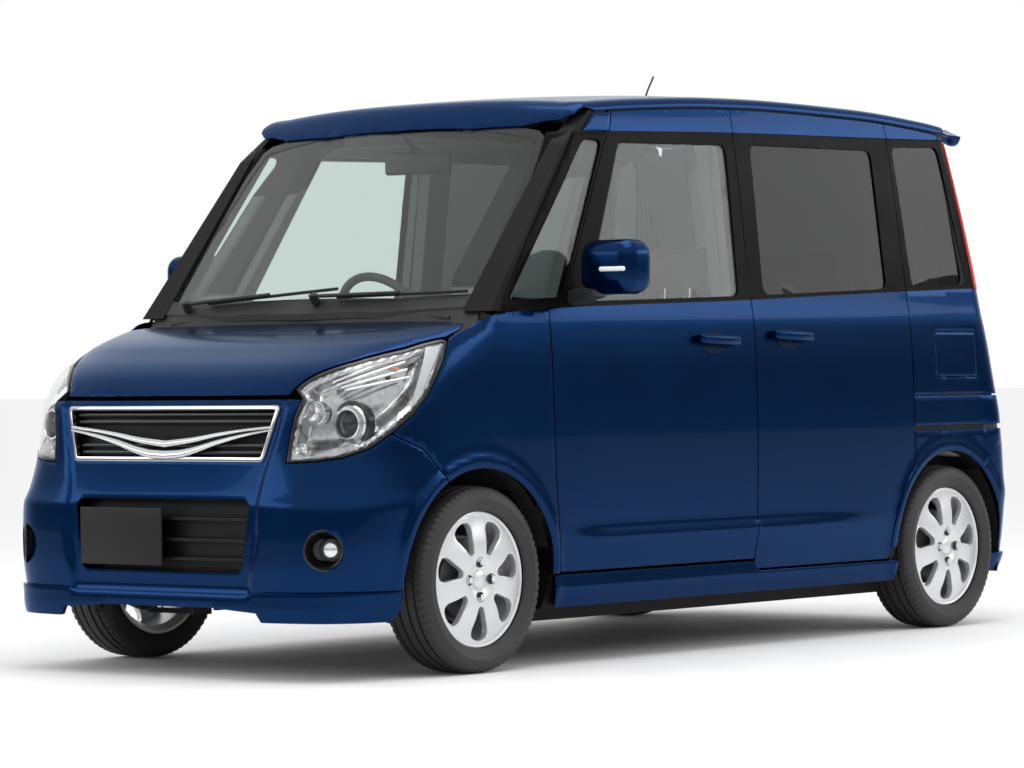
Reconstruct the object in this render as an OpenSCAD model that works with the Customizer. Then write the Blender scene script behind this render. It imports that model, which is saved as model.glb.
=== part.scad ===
// Tall five-door kei car: a one-box cabin on a short nose, hinged front doors, sliding rear doors and a top-hung tailgate.
// The car stands on z = 0 with its nose towards -Y, its left side towards +X and its origin midway along and across.

/* [Body] */
// Length over both bumpers
length = 3395; // [3350:5:3450]
// Width over the body sides
width = 1475; // [1440:5:1520]
// Height of the roof above the ground
height = 1735; // [1715:5:1775]
// Front bumper to front axle
front_overhang = 580; // [570:2:600]
// Height of the bottom edge of the body sides
body_bottom = 168; // [160:1:180]
// Height of the belt line at the front door
belt = 1052; // [1040:1:1064]
// Depth of the rounded nose ahead of the cabin
nose_depth = 700; // [680:5:720]
// Squareness of the nose in plan
nose_power = 4.3; // [3.5:0.1:5]
// Height of the windscreen's lower edge
screen_base = 1030; // [1020:1:1040]
// Rise of the windscreen for each millimetre of run
screen_slope = 1.25; // [1.2:0.01:1.3]
// Plan radius of the rear corners
tail_radius = 130; // [110:5:150]

/* [Panels] */
// Thickness of a side door
door_wall = 62; // [55:1:64]
// Thickness of the pillars and quarter panels
pillar_wall = 112; // [108:1:118]
// Distance from the outer skin to the inner side frame
frame_inset = 68; // [67:0.5:72]
// Thickness of the roof panel
roof_wall = 36; // [30:1:40]
// Thickness of the bonnet and tailgate skins
lid_wall = 28; // [22:1:32]
// Thickness of bumpers and wings
wing_wall = 26; // [20:1:30]
// Gap along every panel seam
seam = 6; // [5:0.5:8]
// Thickness of the window glass
glass = 5; // [4:0.5:6]

/* [Wheels] */
// Distance between the axles
wheelbase = 2400; // [2390:2:2410]
// Distance between the wheel centres of one axle
track = 1290; // [1280:2:1296]
// Outside diameter of the tyre
tyre_d = 536; // [528:1:540]
// Width of the tyre
tyre_w = 165; // [155:1:168]
// Diameter of the rim flange
rim_d = 390; // [384:1:394]
// Radius of the wheel arches
arch_r = 316; // [312:1:320]
// Bolt circle of the wheel nuts
bolt_circle = 100; // [96:1:104]
// Centre bore of the wheel
hub_bore = 54; // [50:0.5:58]
// Number of windows in the wheel
wheel_windows = 7; // [6:1:9]
// Radial running clearance between hub and wheel
hub_clearance = 0.05; // [0.03:0.01:0.08]

/* [Cabin] */
// Seat cushion top above the ground
seat_height = 640; // [625:5:655]
// Width of a front seat
seat_width = 480; // [460:5:490]
// Steering wheel rim diameter
steering_d = 370; // [350:5:380]

/* [Hidden] */
$fn = 48;

// Reference planes
front_y = -length / 2;
rear_y = length / 2;
axle_front = front_y + front_overhang;
axle_rear = axle_front + wheelbase;
axle_z = tyre_d / 2;
nose_axis = front_y + nose_depth;
half = width / 2;
wheel_x = track / 2;
far = 4000;
king_x = wheel_x - 45;

// Panel seams along the car
door_front = axle_front + 318;
pillar_gap = axle_front + 1312;
slide_rear = axle_rear - 220;
screen_front = nose_axis - 107.5;
bonnet_rear = screen_front - 13;
roof_front = screen_front + (height - 145 - screen_base) / screen_slope;
roof_rear = rear_y - 297.5;
roof_edge = 602;
antenna_y = roof_rear - 830;
door_bottom = 272;
slide_bottom = 240;
rear_seat_y = axle_rear - 532.5;
bumper_top = 652;

// Hinge axes
door_hinge_y = door_front + 46;
door_hinge_inset = 26;
door_swing_gap = 17;
lid_swing_gap = 10;
bonnet_hinge = [bonnet_rear - 17, 990];
tailgate_hinge = [roof_rear + 24, height - 60];
lid_front = axle_rear - 58;
lid_hinge_y = lid_front + 12;
lid_hinge_inset = 14;

// Body side: height, inset from the half width
side_table = [
  [150, 46], [260, 17], [400, 3], [620, 0], [850, 4], [1000, 13], [1075, 23],
  [height - 135, 87], [height - 45, 105]
];
// Nose: height, setback from the front plane
nose_table = [
  [150, 24], [240, 8], [330, 0], [500, 12], [620, 26], [770, 43], [800, 63], [845, 98],
  [880, 148], [925, 248], [948, 307], [985, 448], [1022, 650]
];
// Tail: height, setback from the rear plane
tail_table = [
  [150, 25], [230, 2], [420, 0], [640, 20], [668, 30], [680, 78], [750, 82], [1110, 112],
  [height - 115, 222], [height, 250]
];
// Roof: distance along the car, drop below the highest point
roof_table = [
  [roof_front + 7, 66], [roof_front + 157, 43], [roof_front + 457, 20], [roof_front + 757, 5],
  [roof_rear - 1000, 0], [roof_rear - 500, 7], [roof_rear - 100, 30], [roof_rear + 100, 52]
];
// Plan taper: distance along the car, inset
taper_table = [[nose_axis, 15], [nose_axis + 397.5, 0], [roof_rear - 600, 0], [roof_rear, 12]];

door_hinge_x = side_x(door_hinge_y, 880) - door_hinge_inset;
lid_hinge_x = side_x(lid_hinge_y, 900) - lid_hinge_inset;
// Nose stations ahead of the cabin, on a nose 700 deep
nose_steps = [0, 130, 260, 370, 450, 520, 575, 620, 652, 675, 690, 698];
// Cabin stations along the car
cabin_steps = [
  screen_front, nose_axis, roof_front - 203, roof_front - 83, roof_front + 7, roof_front + 157, roof_front + 457,
  roof_front + 757, roof_rear - 900, roof_rear - 500, roof_rear - 200, roof_rear - 80, roof_rear, rear_y - 250.5,
  rear_y - 207.5, rear_y - 157.5, rear_y - 117.5, rear_y - 85.5, rear_y - 78.5, rear_y - 74.5, rear_y - 49.5,
  rear_y - 25.5, rear_y - 9.5, rear_y
];
// Heights at which a section is measured
heights = [
  body_bottom, 260, 330, 400, 500, 560, 620, 668, 740, 850, 1000, 1075, 1250, 1430,
  height - 135, height - 90
];

nose_inverse = [for (k = [len(nose_table) - 1:-1:2]) [nose_depth - nose_table[k][1], nose_table[k][0]]];
tail_inverse = [for (k = [3:len(tail_table) - 1]) [tail_table[k][1], tail_table[k][0]]];

function tail_y(z) = rear_y - lookup(z, tail_table);
function nose_reach(z, i) = nose_depth - lookup(z + (z > 400 ? i : 0), nose_table) - i;
function nose_x(d, z, i) =
  let (r = nose_reach(z, i))
  r <= d ? -1 : (half - lookup(z, side_table) - 15 - i) * pow(1 - pow(d / r, nose_power), 1 / nose_power);
function side_x(y, z, i = 0) =
  let (t = max(0, y - tail_y(z) + tail_radius), r = tail_radius - i)
  t > r ? -1 : half - lookup(z, side_table) - lookup(y, taper_table) - tail_radius + sqrt(r * r - t * t);
function roof_z(x, y, i) = height - lookup(y, roof_table) - 28 * pow(abs(x) / 600, 2.6) - i;
function screen_z(x, y, i) = screen_base + (y - screen_front - 55 * pow(x / 630, 2)) * screen_slope - 1.6 * i;
function top_z(x, y, i) = min(roof_z(x, y, i), screen_z(x, y, i));
function side_top(y, i) = min(
  height - 45 - lookup(y, roof_table) - i, screen_z(620, y, i), lookup(rear_y - y - i, tail_inverse));

// Mirrored outline of one nose section: distance ahead of the cabin, inset
function nose_half(d, i) =
  let (raw = lookup(d + i, nose_inverse), top = raw > 400 + i ? raw - i : min(raw, 400))
  [for (z = concat([for (h = heights) if (h < top - 60) h], [for (b = [48, 24, 10, 3]) top - b]))
    let (x = nose_x(d, z, i)) if (x > 0) [x, i > 0 && z == body_bottom ? z - 40 : z]];
function cabin_half(y, i) =
  let (top = side_top(y, i))
  concat(
    [for (z = concat([for (h = heights) if (h < top - 12) h], [top]))
      let (x = side_x(y, z, i)) if (x >= 0) [x, i > 0 && z == body_bottom ? z - 40 : z]],
    y > tail_y(height) - i ? [] : [for (x = [600 - i, 440, 220, 0]) [x, top_z(x, y, i)]]);

// One section drawn as a flat cone, its base the section and its tip inside the body
module section(y, half_points, tip) {
  n = len(half_points);
  ring = concat(
    [for (p = half_points) [p[0], y, p[1]]],
    [for (k = [n - 1:-1:0]) if (half_points[k][0] > 0) [-half_points[k][0], y, half_points[k][1]]]);
  m = len(ring);
  polyhedron(
    concat(ring, [[0, tip, half_points[floor(n / 2)][1]]]),
    concat([[for (k = [0:m - 1]) k]], [for (k = [0:m - 1]) [(k + 1) % m, k, m]]));
}

// Whole body shape, set in by i all round and open below where i is not 0
module skin(i = 0) {
  scale_in = (nose_depth - i) / nose_depth;
  last = rear_y - i;
  for (k = [0:len(nose_steps) - 2])
    hull()
      for (d = [nose_steps[k], nose_steps[k + 1]])
        section(
          nose_axis - d * scale_in * nose_depth / 698, nose_half(d * scale_in, i),
          nose_axis - (nose_steps[k] + nose_steps[k + 1]) / 2 * scale_in);
  for (k = [0:len(cabin_steps) - 2])
    if (cabin_steps[k] < last - 4)
      hull()
        for (y = [cabin_steps[k], min(cabin_steps[k + 1], last)])
          section(y, cabin_half(min(y, last - 2), i), (cabin_steps[k] + min(cabin_steps[k + 1], last)) / 2);
}

module wall(outer, thickness) {
  difference() {
    skin(outer);
    skin(outer + thickness);
  }
}

// Outline drawn along Y and Z, run across the car
module across(x0, x1) {
  translate([x0, 0, 0])
    rotate([90, 0, 90])
      linear_extrude(x1 - x0)
        children();
}

// Outline drawn along X and Z, run along the car
module along(y0, y1) {
  translate([0, y1, 0])
    rotate([90, 0, 0])
      linear_extrude(y1 - y0)
        children();
}

module both_sides() {
  children();
  mirror([1, 0, 0])
    children();
}

module on_side(side) {
  mirror([side < 0 ? 1 : 0, 0, 0])
    children();
}

module rounded(r) {
  offset(r, $fn = 24)
    offset(delta = -r)
      children();
}

// Panel outlines seen from the side, along Y and Z
module front_door_shape() {
  polygon([
    [door_front + 30, door_bottom], [door_front, 620], [door_front, belt - 20], [door_front + 85, belt + 8],
    [roof_front + 227.5, height - 135], [roof_front + 277.5, height + 20], [pillar_gap, height + 20],
    [pillar_gap - 8, door_bottom]
  ]);
}

module front_window_shape() {
  rounded(24)
    polygon([
      [door_front + 180, belt + 14], [roof_front + 269.5, height - 190], [pillar_gap - 48, height - 178],
      [pillar_gap - 58, belt + 34]
    ]);
}

module slide_door_shape() {
  polygon([
    [pillar_gap - 8, slide_bottom], [pillar_gap, height + 20], [slide_rear - 22, height + 20],
    [slide_rear, belt + 60], [slide_rear, 400], [slide_rear - 100, slide_bottom]
  ]);
}

module slide_window_shape() {
  rounded(30)
    polygon([
      [pillar_gap + 72, belt + 40], [pillar_gap + 82, height - 172], [slide_rear - 120, height - 165],
      [slide_rear - 112, belt + 66]
    ]);
}

module rear_window_shape() {
  rounded(30)
    polygon([
      [slide_rear + 42, belt + 72], [slide_rear + 8, height - 150], [slide_rear + 292, height - 138],
      [slide_rear + 352, belt + 84]
    ]);
}

module corner_window_shape() {
  rounded(10)
    polygon([
      [door_front - 168, belt + 12], [roof_front + 93.5, height - 186], [roof_front + 187.5, height - 184],
      [door_front + 72, belt + 26]
    ]);
}

module tail_lamp_shape() {
  polygon([
    [tail_y(belt + 66) - 92, belt + 66], [rear_y, belt + 66], [rear_y, height - 117],
    [tail_y(height - 117) - 58, height - 117]
  ]);
}

module lid_shape() {
  rounded(20)
    translate([lid_front, 828])
      square([234, 152]);
}

module front_bumper_shape() {
  polygon([
    [front_y - 50, 100], [axle_front - 100, 100], [axle_front - 185, 600], [axle_front - 200, 625],
    [axle_front - 292, 692], [axle_front - 380, 798], [front_y - 50, 798]
  ]);
}

module rear_bumper_shape() {
  polygon([
    [axle_rear + 190, 100], [rear_y + 50, 100], [rear_y + 50, 679], [rear_y - 88, 679], [rear_y - 100, bumper_top],
    [axle_rear + 260, bumper_top], [axle_rear + 190, 560]
  ]);
}

// Bonnet outline seen from above, along X and Y
module bonnet_shape() {
  half_shape = [
    [440, front_y - 50], [452, axle_front - 482], [560, axle_front - 352], [640, axle_front - 232],
    [690, axle_front - 108], [690, bonnet_rear]
  ];
  polygon(concat(half_shape, [for (k = [len(half_shape) - 1:-1:0]) [-half_shape[k][0], half_shape[k][1]]]));
}

// Headlamp outline seen from lamp_turn degrees off the nose: distance across that view, height
lamp_turn = 39.6;
module lamp_shape() {
  polygon([
    [-698, 611], [-615, 615], [-538, 625], [-465, 649], [-405, 690], [-343, 744], [-302, 798], [-272, 865],
    [-249, 949], [-333, 952], [-410, 930], [-508, 905], [-589, 875], [-632, 846], [-660, 782], [-682, 703]
  ]);
}

module lamp_prism() {
  rotate([0, 0, lamp_turn])
    translate([0, -1250, 0])
      rotate([90, 0, 0])
        linear_extrude(900)
          lamp_shape();
}

module bonnet_prism(grow = 0) {
  translate([0, 0, 798 - grow])
    linear_extrude(400)
      offset(delta = grow)
        bonnet_shape();
}

module arches(r) {
  for (y = [axle_front, axle_rear])
    translate([0, y, axle_z])
      rotate([0, 90, 0])
        cylinder(h = far, r = r, center = true, $fn = 64);
}

// Body structure
module body_side(side) {
  on_side(side) {
    difference() {
      intersection() {
        wall(0, pillar_wall);
        across(roof_edge + seam / 2, 900)
          difference() {
            polygon([
              [slide_rear, body_bottom - 20], [slide_rear - 22, height + 50], [rear_y + 50, height + 50],
              [rear_y + 50, 100], [slide_rear, 100]
            ]);
            offset(delta = seam)
              slide_door_shape();
            rear_bumper_shape();
            tail_lamp_shape();
            rear_window_shape();
          }
      }
      if (side > 0)
        across(side_x(lid_front + 120, 900) - 80, 900)
          lid_opening();
      arches(arch_r);
    }
    intersection() {
      wall(0, pillar_wall);
      across(roof_edge + seam / 2, 900)
        difference() {
          polygon([
            [screen_front + 30, belt - 16], [door_front, belt - 16], [door_front + 85, belt + 8],
            [roof_front + 227.5, height - 135], [roof_front + 277.5, height + 20], [roof_front - 30, height + 20]
          ]);
          offset(delta = door_swing_gap - 4)
            front_door_shape();
          corner_window_shape();
        }
    }
    difference() {
      intersection() {
        wall(0, 92);
        across(roof_edge - 2, 900)
          polygon([
            [axle_front + 200, 100], [axle_front + 200, door_bottom - seam], [pillar_gap - 12, door_bottom - seam],
            [pillar_gap - 12, slide_bottom - seam], [axle_rear - 200, slide_bottom - seam], [axle_rear - 200, 100]
          ]);
      }
      arches(arch_r);
    }
    difference() {
      intersection() {
        wall(frame_inset, pillar_wall - frame_inset);
        union() {
          across(roof_edge - 2, 900)
            translate([door_front - 110, 100])
              square([slide_rear - door_front + 180, 500]);
          across(440, 900)
            translate([door_front - 110, 420])
              square([slide_rear - door_front + 180, height]);
        }
      }
      across(300, 900)
        door_openings();
      arches(arch_r);
    }
    intersection() {
      wall(door_wall, 14);
      across(440, 900)
        for (p = [[pillar_gap + 12, 420], [pillar_gap + 12, 900], [slide_rear - 62, 900]])
          translate(p)
            square(34);
    }
  }
}

module lid_opening() {
  translate([lid_front - 16, 822])
    square([256, 164]);
}

// Openings of the inner side frame seen from the side
module door_openings() {
  polygon([
    [door_front + 130, 330], [door_front + 110, 264], [door_front, 264], [door_front, belt - 10], [door_front + 130, belt + 30], [roof_front + 277.5, height - 180],
    [pillar_gap - 52, height - 170], [pillar_gap - 52, 330]
  ]);
  polygon([
    [pillar_gap + 52, 300], [pillar_gap + 52, height - 165], [slide_rear - 82, height - 155],
    [slide_rear - 82, 480], [slide_rear - 190, 300]
  ]);
}

module body_side_left() {
  color([0.02, 0.06, 0.2])
    body_side(1);
}

module body_side_right() {
  color([0.02, 0.06, 0.2])
    body_side(-1);
}

module roof_panel() {
  color([0.02, 0.06, 0.2])
    intersection() {
      wall(0, roof_wall);
      translate([0, 0, height - 335])
        linear_extrude(600)
          polygon([
            [-roof_edge - 3, roof_front + 35], [-300, roof_front + 8], [0, roof_front], [300, roof_front + 8],
            [roof_edge + 3, roof_front + 35], [roof_edge + 3, roof_front + 219.5], [roof_edge - 3, roof_front + 219.5],
            [roof_edge - 3, slide_rear - 40], [roof_edge + 3, slide_rear - 10], [roof_edge + 3, roof_rear],
            [-roof_edge - 3, roof_rear], [-roof_edge - 3, slide_rear - 10], [-roof_edge + 3, slide_rear - 40],
            [-roof_edge + 3, roof_front + 219.5], [-roof_edge - 3, roof_front + 219.5]
          ]);
    }
}

module floor_pan() {
  color([0.05, 0.05, 0.055]) {
    difference() {
      translate([-roof_edge + 2, nose_axis + 30, 200])
        cube([2 * roof_edge - 4, axle_rear - 350 - nose_axis - 30, 40]);
      both_sides()
        translate([404, nose_axis - 50, 100])
          cube([400, axle_front + 330 - nose_axis + 50, 400]);
    }
    translate([-430, axle_rear - 350, 200])
      cube([860, 20, 160]);
    translate([-430, axle_rear - 350, 330])
      cube([860, rear_y - 60 - axle_rear + 350, 30]);
    both_sides()
      translate([330, front_y + 150, 200])
        cube([60, nose_axis + 30 - front_y - 150, 70]);
    both_sides()
      difference() {
        translate([352, front_y + 90, 168])
          cube([16, 70, 66]);
        translate([340, front_y + 118, 196])
          rotate([0, 90, 0])
            cylinder(h = 40, r = 14);
      }
  }
}

module bulkhead() {
  color([0.04, 0.04, 0.045]) {
    translate([-404, nose_axis + 30, 240])
      cube([808, 24, 720]);
    intersection() {
      skin(6);
      translate([-560, screen_front + 38, 945])
        cube([1120, nose_axis + 54 - screen_front - 38, 80]);
    }
    intersection() {
      wall(2, 12);
      translate([0, 0, 900])
        linear_extrude(300)
          polygon([
            [roof_edge + 3, screen_front + 92], [300, screen_front + 54], [0, screen_front + 44],
            [-300, screen_front + 54], [-roof_edge - 3, screen_front + 92], [-roof_edge - 3, screen_front + 62],
            [-300, screen_front + 23], [0, screen_front + 10], [300, screen_front + 23],
            [roof_edge + 3, screen_front + 62]
          ]);
    }
  }
}

module wheel_liners() {
  color([0.02, 0.02, 0.02])
    both_sides() {
      difference() {
        translate([404, axle_front, axle_z])
          rotate([0, 90, 0])
            cylinder(h = 196, r = arch_r + 15);
        translate([400, axle_front, axle_z])
          rotate([0, 90, 0])
            cylinder(h = 300, r = arch_r + 8);
        translate([300, axle_front - 500, -200])
          cube([600, 1000, 530]);
        translate([450, axle_front, 300])
          cylinder(h = 600, r = 48);
      }
      difference() {
        translate([430, axle_rear, axle_z])
          rotate([0, 90, 0])
            cylinder(h = 170, r = arch_r + 15);
        translate([437, axle_rear, axle_z])
          rotate([0, 90, 0])
            cylinder(h = 300, r = arch_r + 8);
        translate([300, axle_rear - 500, -200])
          cube([600, 1000, 530]);
      }
    }
}

// Front end
module wing(side) {
  on_side(side)
    difference() {
      intersection() {
        wall(0, wing_wall);
        across(roof_edge - 60, 900)
          difference() {
            polygon([
              [axle_front - 420, belt - 16], [axle_front - 420, 560], [axle_front + 200, 560],
              [axle_front + 200, door_bottom - seam], [door_front + 28, door_bottom - seam],
              [door_front - 2, 620], [door_front - 2, belt - 16]
            ]);
            offset(delta = door_swing_gap)
              front_door_shape();
            front_bumper_shape();
            translate([axle_front + 100, 100])
              square([300, door_bottom - 100]);
          }
      }
      lamp_prism();
      bonnet_prism(lid_swing_gap);
      translate([0, 5, 0])
        bonnet_prism(lid_swing_gap);
      translate([-roof_edge - 3, screen_front - 12, 900])
        cube([2 * roof_edge + 6, 800, 400]);
      arches(arch_r);
    }
}

module wing_left() {
  color([0.02, 0.06, 0.2])
    wing(1);
}

module wing_right() {
  color([0.02, 0.06, 0.2])
    wing(-1);
}

module bonnet() {
  color([0.02, 0.06, 0.2]) {
    intersection() {
      wall(0, 5);
      bonnet_prism();
    }
    intersection() {
      wall(2, 10);
      bonnet_prism(-30);
    }
    intersection() {
      wall(4, lid_wall - 4);
      bonnet_prism(-40);
    }
    both_sides()
      difference() {
        intersection() {
          skin(3);
          translate([466, bonnet_hinge[0] - 9, bonnet_hinge[1] - 9])
            cube([22, 18, 80]);
        }
        translate([440, bonnet_hinge[0], bonnet_hinge[1]])
          rotate([0, 90, 0])
            cylinder(h = 80, r = 4 + hub_clearance);
      }
  }
}

// Grille openings seen from the front, along X and Z
module upper_grille_shape() {
  polygon([[-416, 770], [-371, 618], [371, 618], [416, 770]]);
}

module lower_grille_shape() {
  rounded(18)
    polygon([[-344, 508], [-316, 302], [316, 302], [344, 508]]);
}

module fog_shape() {
  both_sides()
    translate([572, 372])
      circle(58, $fn = 32);
}

module front_bumper() {
  color([0.02, 0.06, 0.2])
    difference() {
      intersection() {
        wall(0, wing_wall);
        across(-900, 900)
          front_bumper_shape();
      }
      both_sides()
        lamp_prism();
      bonnet_prism(lid_swing_gap);
      along(front_y - 50, axle_front - 200) {
        upper_grille_shape();
        lower_grille_shape();
        fog_shape();
      }
      arches(arch_r);
    }
}

module upper_grille() {
  color([0.6, 0.6, 0.62]) {
    intersection() {
      wall(2, 22);
      along(front_y - 50, axle_front - 200)
        difference() {
          upper_grille_shape();
          offset(delta = -22)
            upper_grille_shape();
        }
    }
    intersection() {
      wall(10, 8);
      along(front_y - 50, axle_front - 200)
        intersection() {
          offset(delta = -8)
            upper_grille_shape();
          for (z = [648, 676, 704, 732])
            translate([-450, z])
              square([900, 9]);
        }
    }
    intersection() {
      wall(6, 14);
      along(front_y - 50, axle_front - 200)
        intersection() {
          offset(delta = -8)
            upper_grille_shape();
          both_sides()
            polygon([[-1, 606], [-1, 646], [150, 688], [420, 722], [420, 696], [170, 660]]);
        }
    }
  }
}

module lower_grille() {
  color([0.02, 0.02, 0.02]) {
    intersection() {
      wall(2, 24);
      along(front_y - 50, axle_front - 200)
        difference() {
          lower_grille_shape();
          offset(delta = -14)
            lower_grille_shape();
        }
    }
    intersection() {
      wall(8, 12);
      along(front_y - 50, axle_front - 200)
        intersection() {
          offset(delta = -6)
            lower_grille_shape();
          for (z = [360, 435])
            translate([-450, z])
              square([900, 16]);
        }
    }
  }
}

module front_lamps() {
  color([0.85, 0.88, 0.9])
    both_sides() {
      difference() {
        intersection() {
          wall(0, 60);
          lamp_prism();
        }
        bonnet_prism(lid_swing_gap);
      }
      intersection() {
        wall(12, 30);
        along(front_y - 50, axle_front - 200)
          translate([572, 372])
            circle(58, $fn = 32);
      }
    }
}

// Rear end
module rear_bumper() {
  color([0.02, 0.06, 0.2])
    difference() {
      intersection() {
        wall(0, wing_wall);
        across(-900, 900)
          rear_bumper_shape();
      }
      arches(arch_r);
    }
}

module tail_lamps() {
  color([0.5, 0.02, 0.02])
    both_sides()
      intersection() {
        wall(0, 60);
        across(roof_edge + seam / 2, 900)
          tail_lamp_shape();
      }
}

module rear_glass_shape() {
  rounded(40)
    polygon([[-540, 1130], [-490, height - 165], [490, height - 165], [540, 1130]]);
}

module tailgate() {
  color([0.02, 0.06, 0.2]) {
    difference() {
      intersection() {
        wall(0, 50);
        across(-roof_edge + seam / 2, roof_edge - seam / 2)
          polygon([
            [roof_rear + 22, height + 50], [roof_rear + 22, height - 130], [axle_rear + 150, height - 240],
            [axle_rear + 150, 686], [rear_y + 50, 686], [rear_y + 50, height + 50]
          ]);
      }
      along(axle_rear, rear_y + 50)
        rear_glass_shape();
      both_sides()
        translate([378, roof_rear, height - 200])
          cube([58, 46, 300]);
    }
    both_sides()
      difference() {
        translate([404, tailgate_hinge[0] - 10, tailgate_hinge[1] - 11])
          cube([20, 44, 22]);
        translate([390, tailgate_hinge[0], tailgate_hinge[1]])
          rotate([0, 90, 0])
            cylinder(h = 50, r = 5 + hub_clearance);
      }
    difference() {
      hull() {
        translate([-520, roof_rear + 60, height - 66])
          cube([1040, 20, 14]);
        translate([-500, rear_y - 128, height - 74])
          cube([1000, 6, 18]);
        translate([-510, roof_rear + 62, height - 110])
          cube([1020, 20, 14]);
      }
      skin(20);
    }
  }
}

module rear_glass() {
  color([0.1, 0.12, 0.13])
    intersection() {
      wall(8, glass);
      along(axle_rear, rear_y + 50)
        rear_glass_shape();
    }
}

module windscreen() {
  color([0.6, 0.68, 0.66])
    intersection() {
      wall(4, glass);
      translate([0, 0, 1000])
        linear_extrude(800)
          polygon([
            [-roof_edge - 3, roof_front + 35], [-300, roof_front + 8], [0, roof_front], [300, roof_front + 8],
            [roof_edge + 3, roof_front + 35], [roof_edge + 3, screen_front + 92], [300, screen_front + 54],
            [0, screen_front + 44], [-300, screen_front + 54], [-roof_edge - 3, screen_front + 92]
          ]);
    }
}

module side_glass() {
  color([0.12, 0.14, 0.15])
    both_sides()
      intersection() {
        wall(12, glass);
        across(400, 900) {
          corner_window_shape();
          slide_window_shape();
          rear_window_shape();
        }
      }
}

// Doors
module hinge_pockets() {
  for (z = [420, 880])
    translate([300, door_front - 40, z - 45])
      cube([side_x(door_hinge_y, z) - 310, door_hinge_y + 16 - door_front + 40, 90]);
}

module front_door(side) {
  on_side(side)
    difference() {
      intersection() {
        wall(0, door_wall);
        across(roof_edge + seam / 2, 900)
          offset(delta = -seam / 2)
            front_door_shape();
      }
      across(300, 900)
        front_window_shape();
      hinge_pockets();
    }
  on_side(side)
    for (z = [420, 880])
      difference() {
        translate([door_hinge_x - 13, door_hinge_y - 13, z + 18])
          cube([side_x(door_hinge_y, z) - 6 - door_hinge_x + 13, 34, 30]);
        translate([door_hinge_x, door_hinge_y, z])
          cylinder(h = 100, r = 7 + hub_clearance);
      }
}

module front_door_left() {
  color([0.02, 0.06, 0.2])
    front_door(1);
}

module front_door_right() {
  color([0.02, 0.06, 0.2])
    front_door(-1);
}

module door_glass(side) {
  on_side(side)
    intersection() {
      wall(14, glass);
      across(400, 900)
        front_window_shape();
    }
}

module door_glass_left() {
  color([0.6, 0.68, 0.66])
    door_glass(1);
}

module door_glass_right() {
  color([0.6, 0.68, 0.66])
    door_glass(-1);
}

module door_mirror(side) {
  on_side(side)
    difference() {
      union() {
        hull() {
          translate([778, door_front + 132, 1160])
            scale([0.6, 0.8, 1])
              sphere(78, $fn = 24);
          translate([872, door_front + 150, 1172])
            scale([0.5, 0.7, 1])
              sphere(72, $fn = 24);
        }
        hull() {
          translate([712, door_front + 118, belt + 22])
            cube([12, 90, 24]);
          translate([790, door_front + 125, 1105])
            cube([30, 60, 24]);
        }
      }
      skin(0);
    }
}

module mirror_left() {
  color([0.02, 0.06, 0.2])
    door_mirror(1);
}

module mirror_right() {
  color([0.02, 0.06, 0.2])
    door_mirror(-1);
}

module sliding_door(side) {
  on_side(side)
    difference() {
      intersection() {
        wall(0, door_wall);
        across(roof_edge + seam / 2, 900)
          offset(delta = -seam / 2)
            slide_door_shape();
      }
      across(300, 900)
        slide_window_shape();
      arches(arch_r);
    }
}

module sliding_door_left() {
  color([0.02, 0.06, 0.2])
    sliding_door(1);
}

module sliding_door_right() {
  color([0.02, 0.06, 0.2])
    sliding_door(-1);
}

module fuel_lid() {
  color([0.02, 0.06, 0.2])
    difference() {
      union() {
        intersection() {
          wall(0, 8);
          across(300, 900)
            lid_shape();
        }
        intersection() {
          skin(3);
          translate([lid_hinge_x - 7, lid_hinge_y - 7, 850])
            cube([30, 14, 100]);
        }
      }
      translate([lid_hinge_x, lid_hinge_y, 700])
        cylinder(h = 400, r = 3 + hub_clearance);
    }
}

// Pins on the hinge axes, each on a bracket fixed to the body
module hinge_pins() {
  color([0.4, 0.4, 0.42]) {
    both_sides()
      for (z = [420, 880]) {
        translate([door_hinge_x, door_hinge_y, z - 12])
          cylinder(h = 46, r = 7);
        translate([door_hinge_x - 76, door_hinge_y - 6, z - 12])
          cube([76, 12, 24]);
        translate([door_hinge_x - 76, door_front, z - 12])
          cube([14, door_hinge_y - door_front + 6, 24]);
      }
    both_sides() {
      translate([455, bonnet_hinge[0], bonnet_hinge[1]])
        rotate([0, 90, 0])
          cylinder(h = 40, r = 4);
      translate([445, bonnet_hinge[0] - 6, 929])
        cube([12, nose_axis + 30 - bonnet_hinge[0] + 6, 16]);
      translate([445, bonnet_hinge[0] - 6, 935])
        cube([12, 12, bonnet_hinge[1] - 935]);
    }
    both_sides() {
      translate([392, tailgate_hinge[0], tailgate_hinge[1]])
        rotate([0, 90, 0])
          cylinder(h = 36, r = 5);
      translate([386, roof_rear, tailgate_hinge[1] - 9])
        cube([12, 29, 14]);
    }
    translate([lid_hinge_x, lid_hinge_y, 822])
      cylinder(h = 164, r = 3);
  }
}

// Cabin
module dashboard_shape() {
  translate([-560, 0, 0])
    across(0, 1120)
      polygon([
        [nose_axis + 54, 640], [nose_axis + 54, 985], [nose_axis + 110, 1010], [nose_axis + 330, 985],
        [nose_axis + 360, 930], [nose_axis + 345, 700], [nose_axis + 250, 640]
      ]);
}

module dashboard() {
  color([0.2, 0.2, 0.21])
    dashboard_shape();
}

module steering_wheel() {
  color([0.06, 0.06, 0.065])
    difference() {
      translate([-350, door_front + 486, 1015])
        rotate([-62, 0, 0]) {
          rotate_extrude()
            translate([steering_d / 2 - 14, 0])
              circle(14);
          translate([0, 0, -22])
            cylinder(h = 34, r = 62);
          for (a = [90, 210, 330])
            rotate([0, 0, a])
              translate([0, -14, -8])
                cube([steering_d / 2 - 14, 28, 14]);
          translate([0, 0, -420])
            cylinder(h = 420, r = 24);
        }
      dashboard_shape();
    }
}

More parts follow.
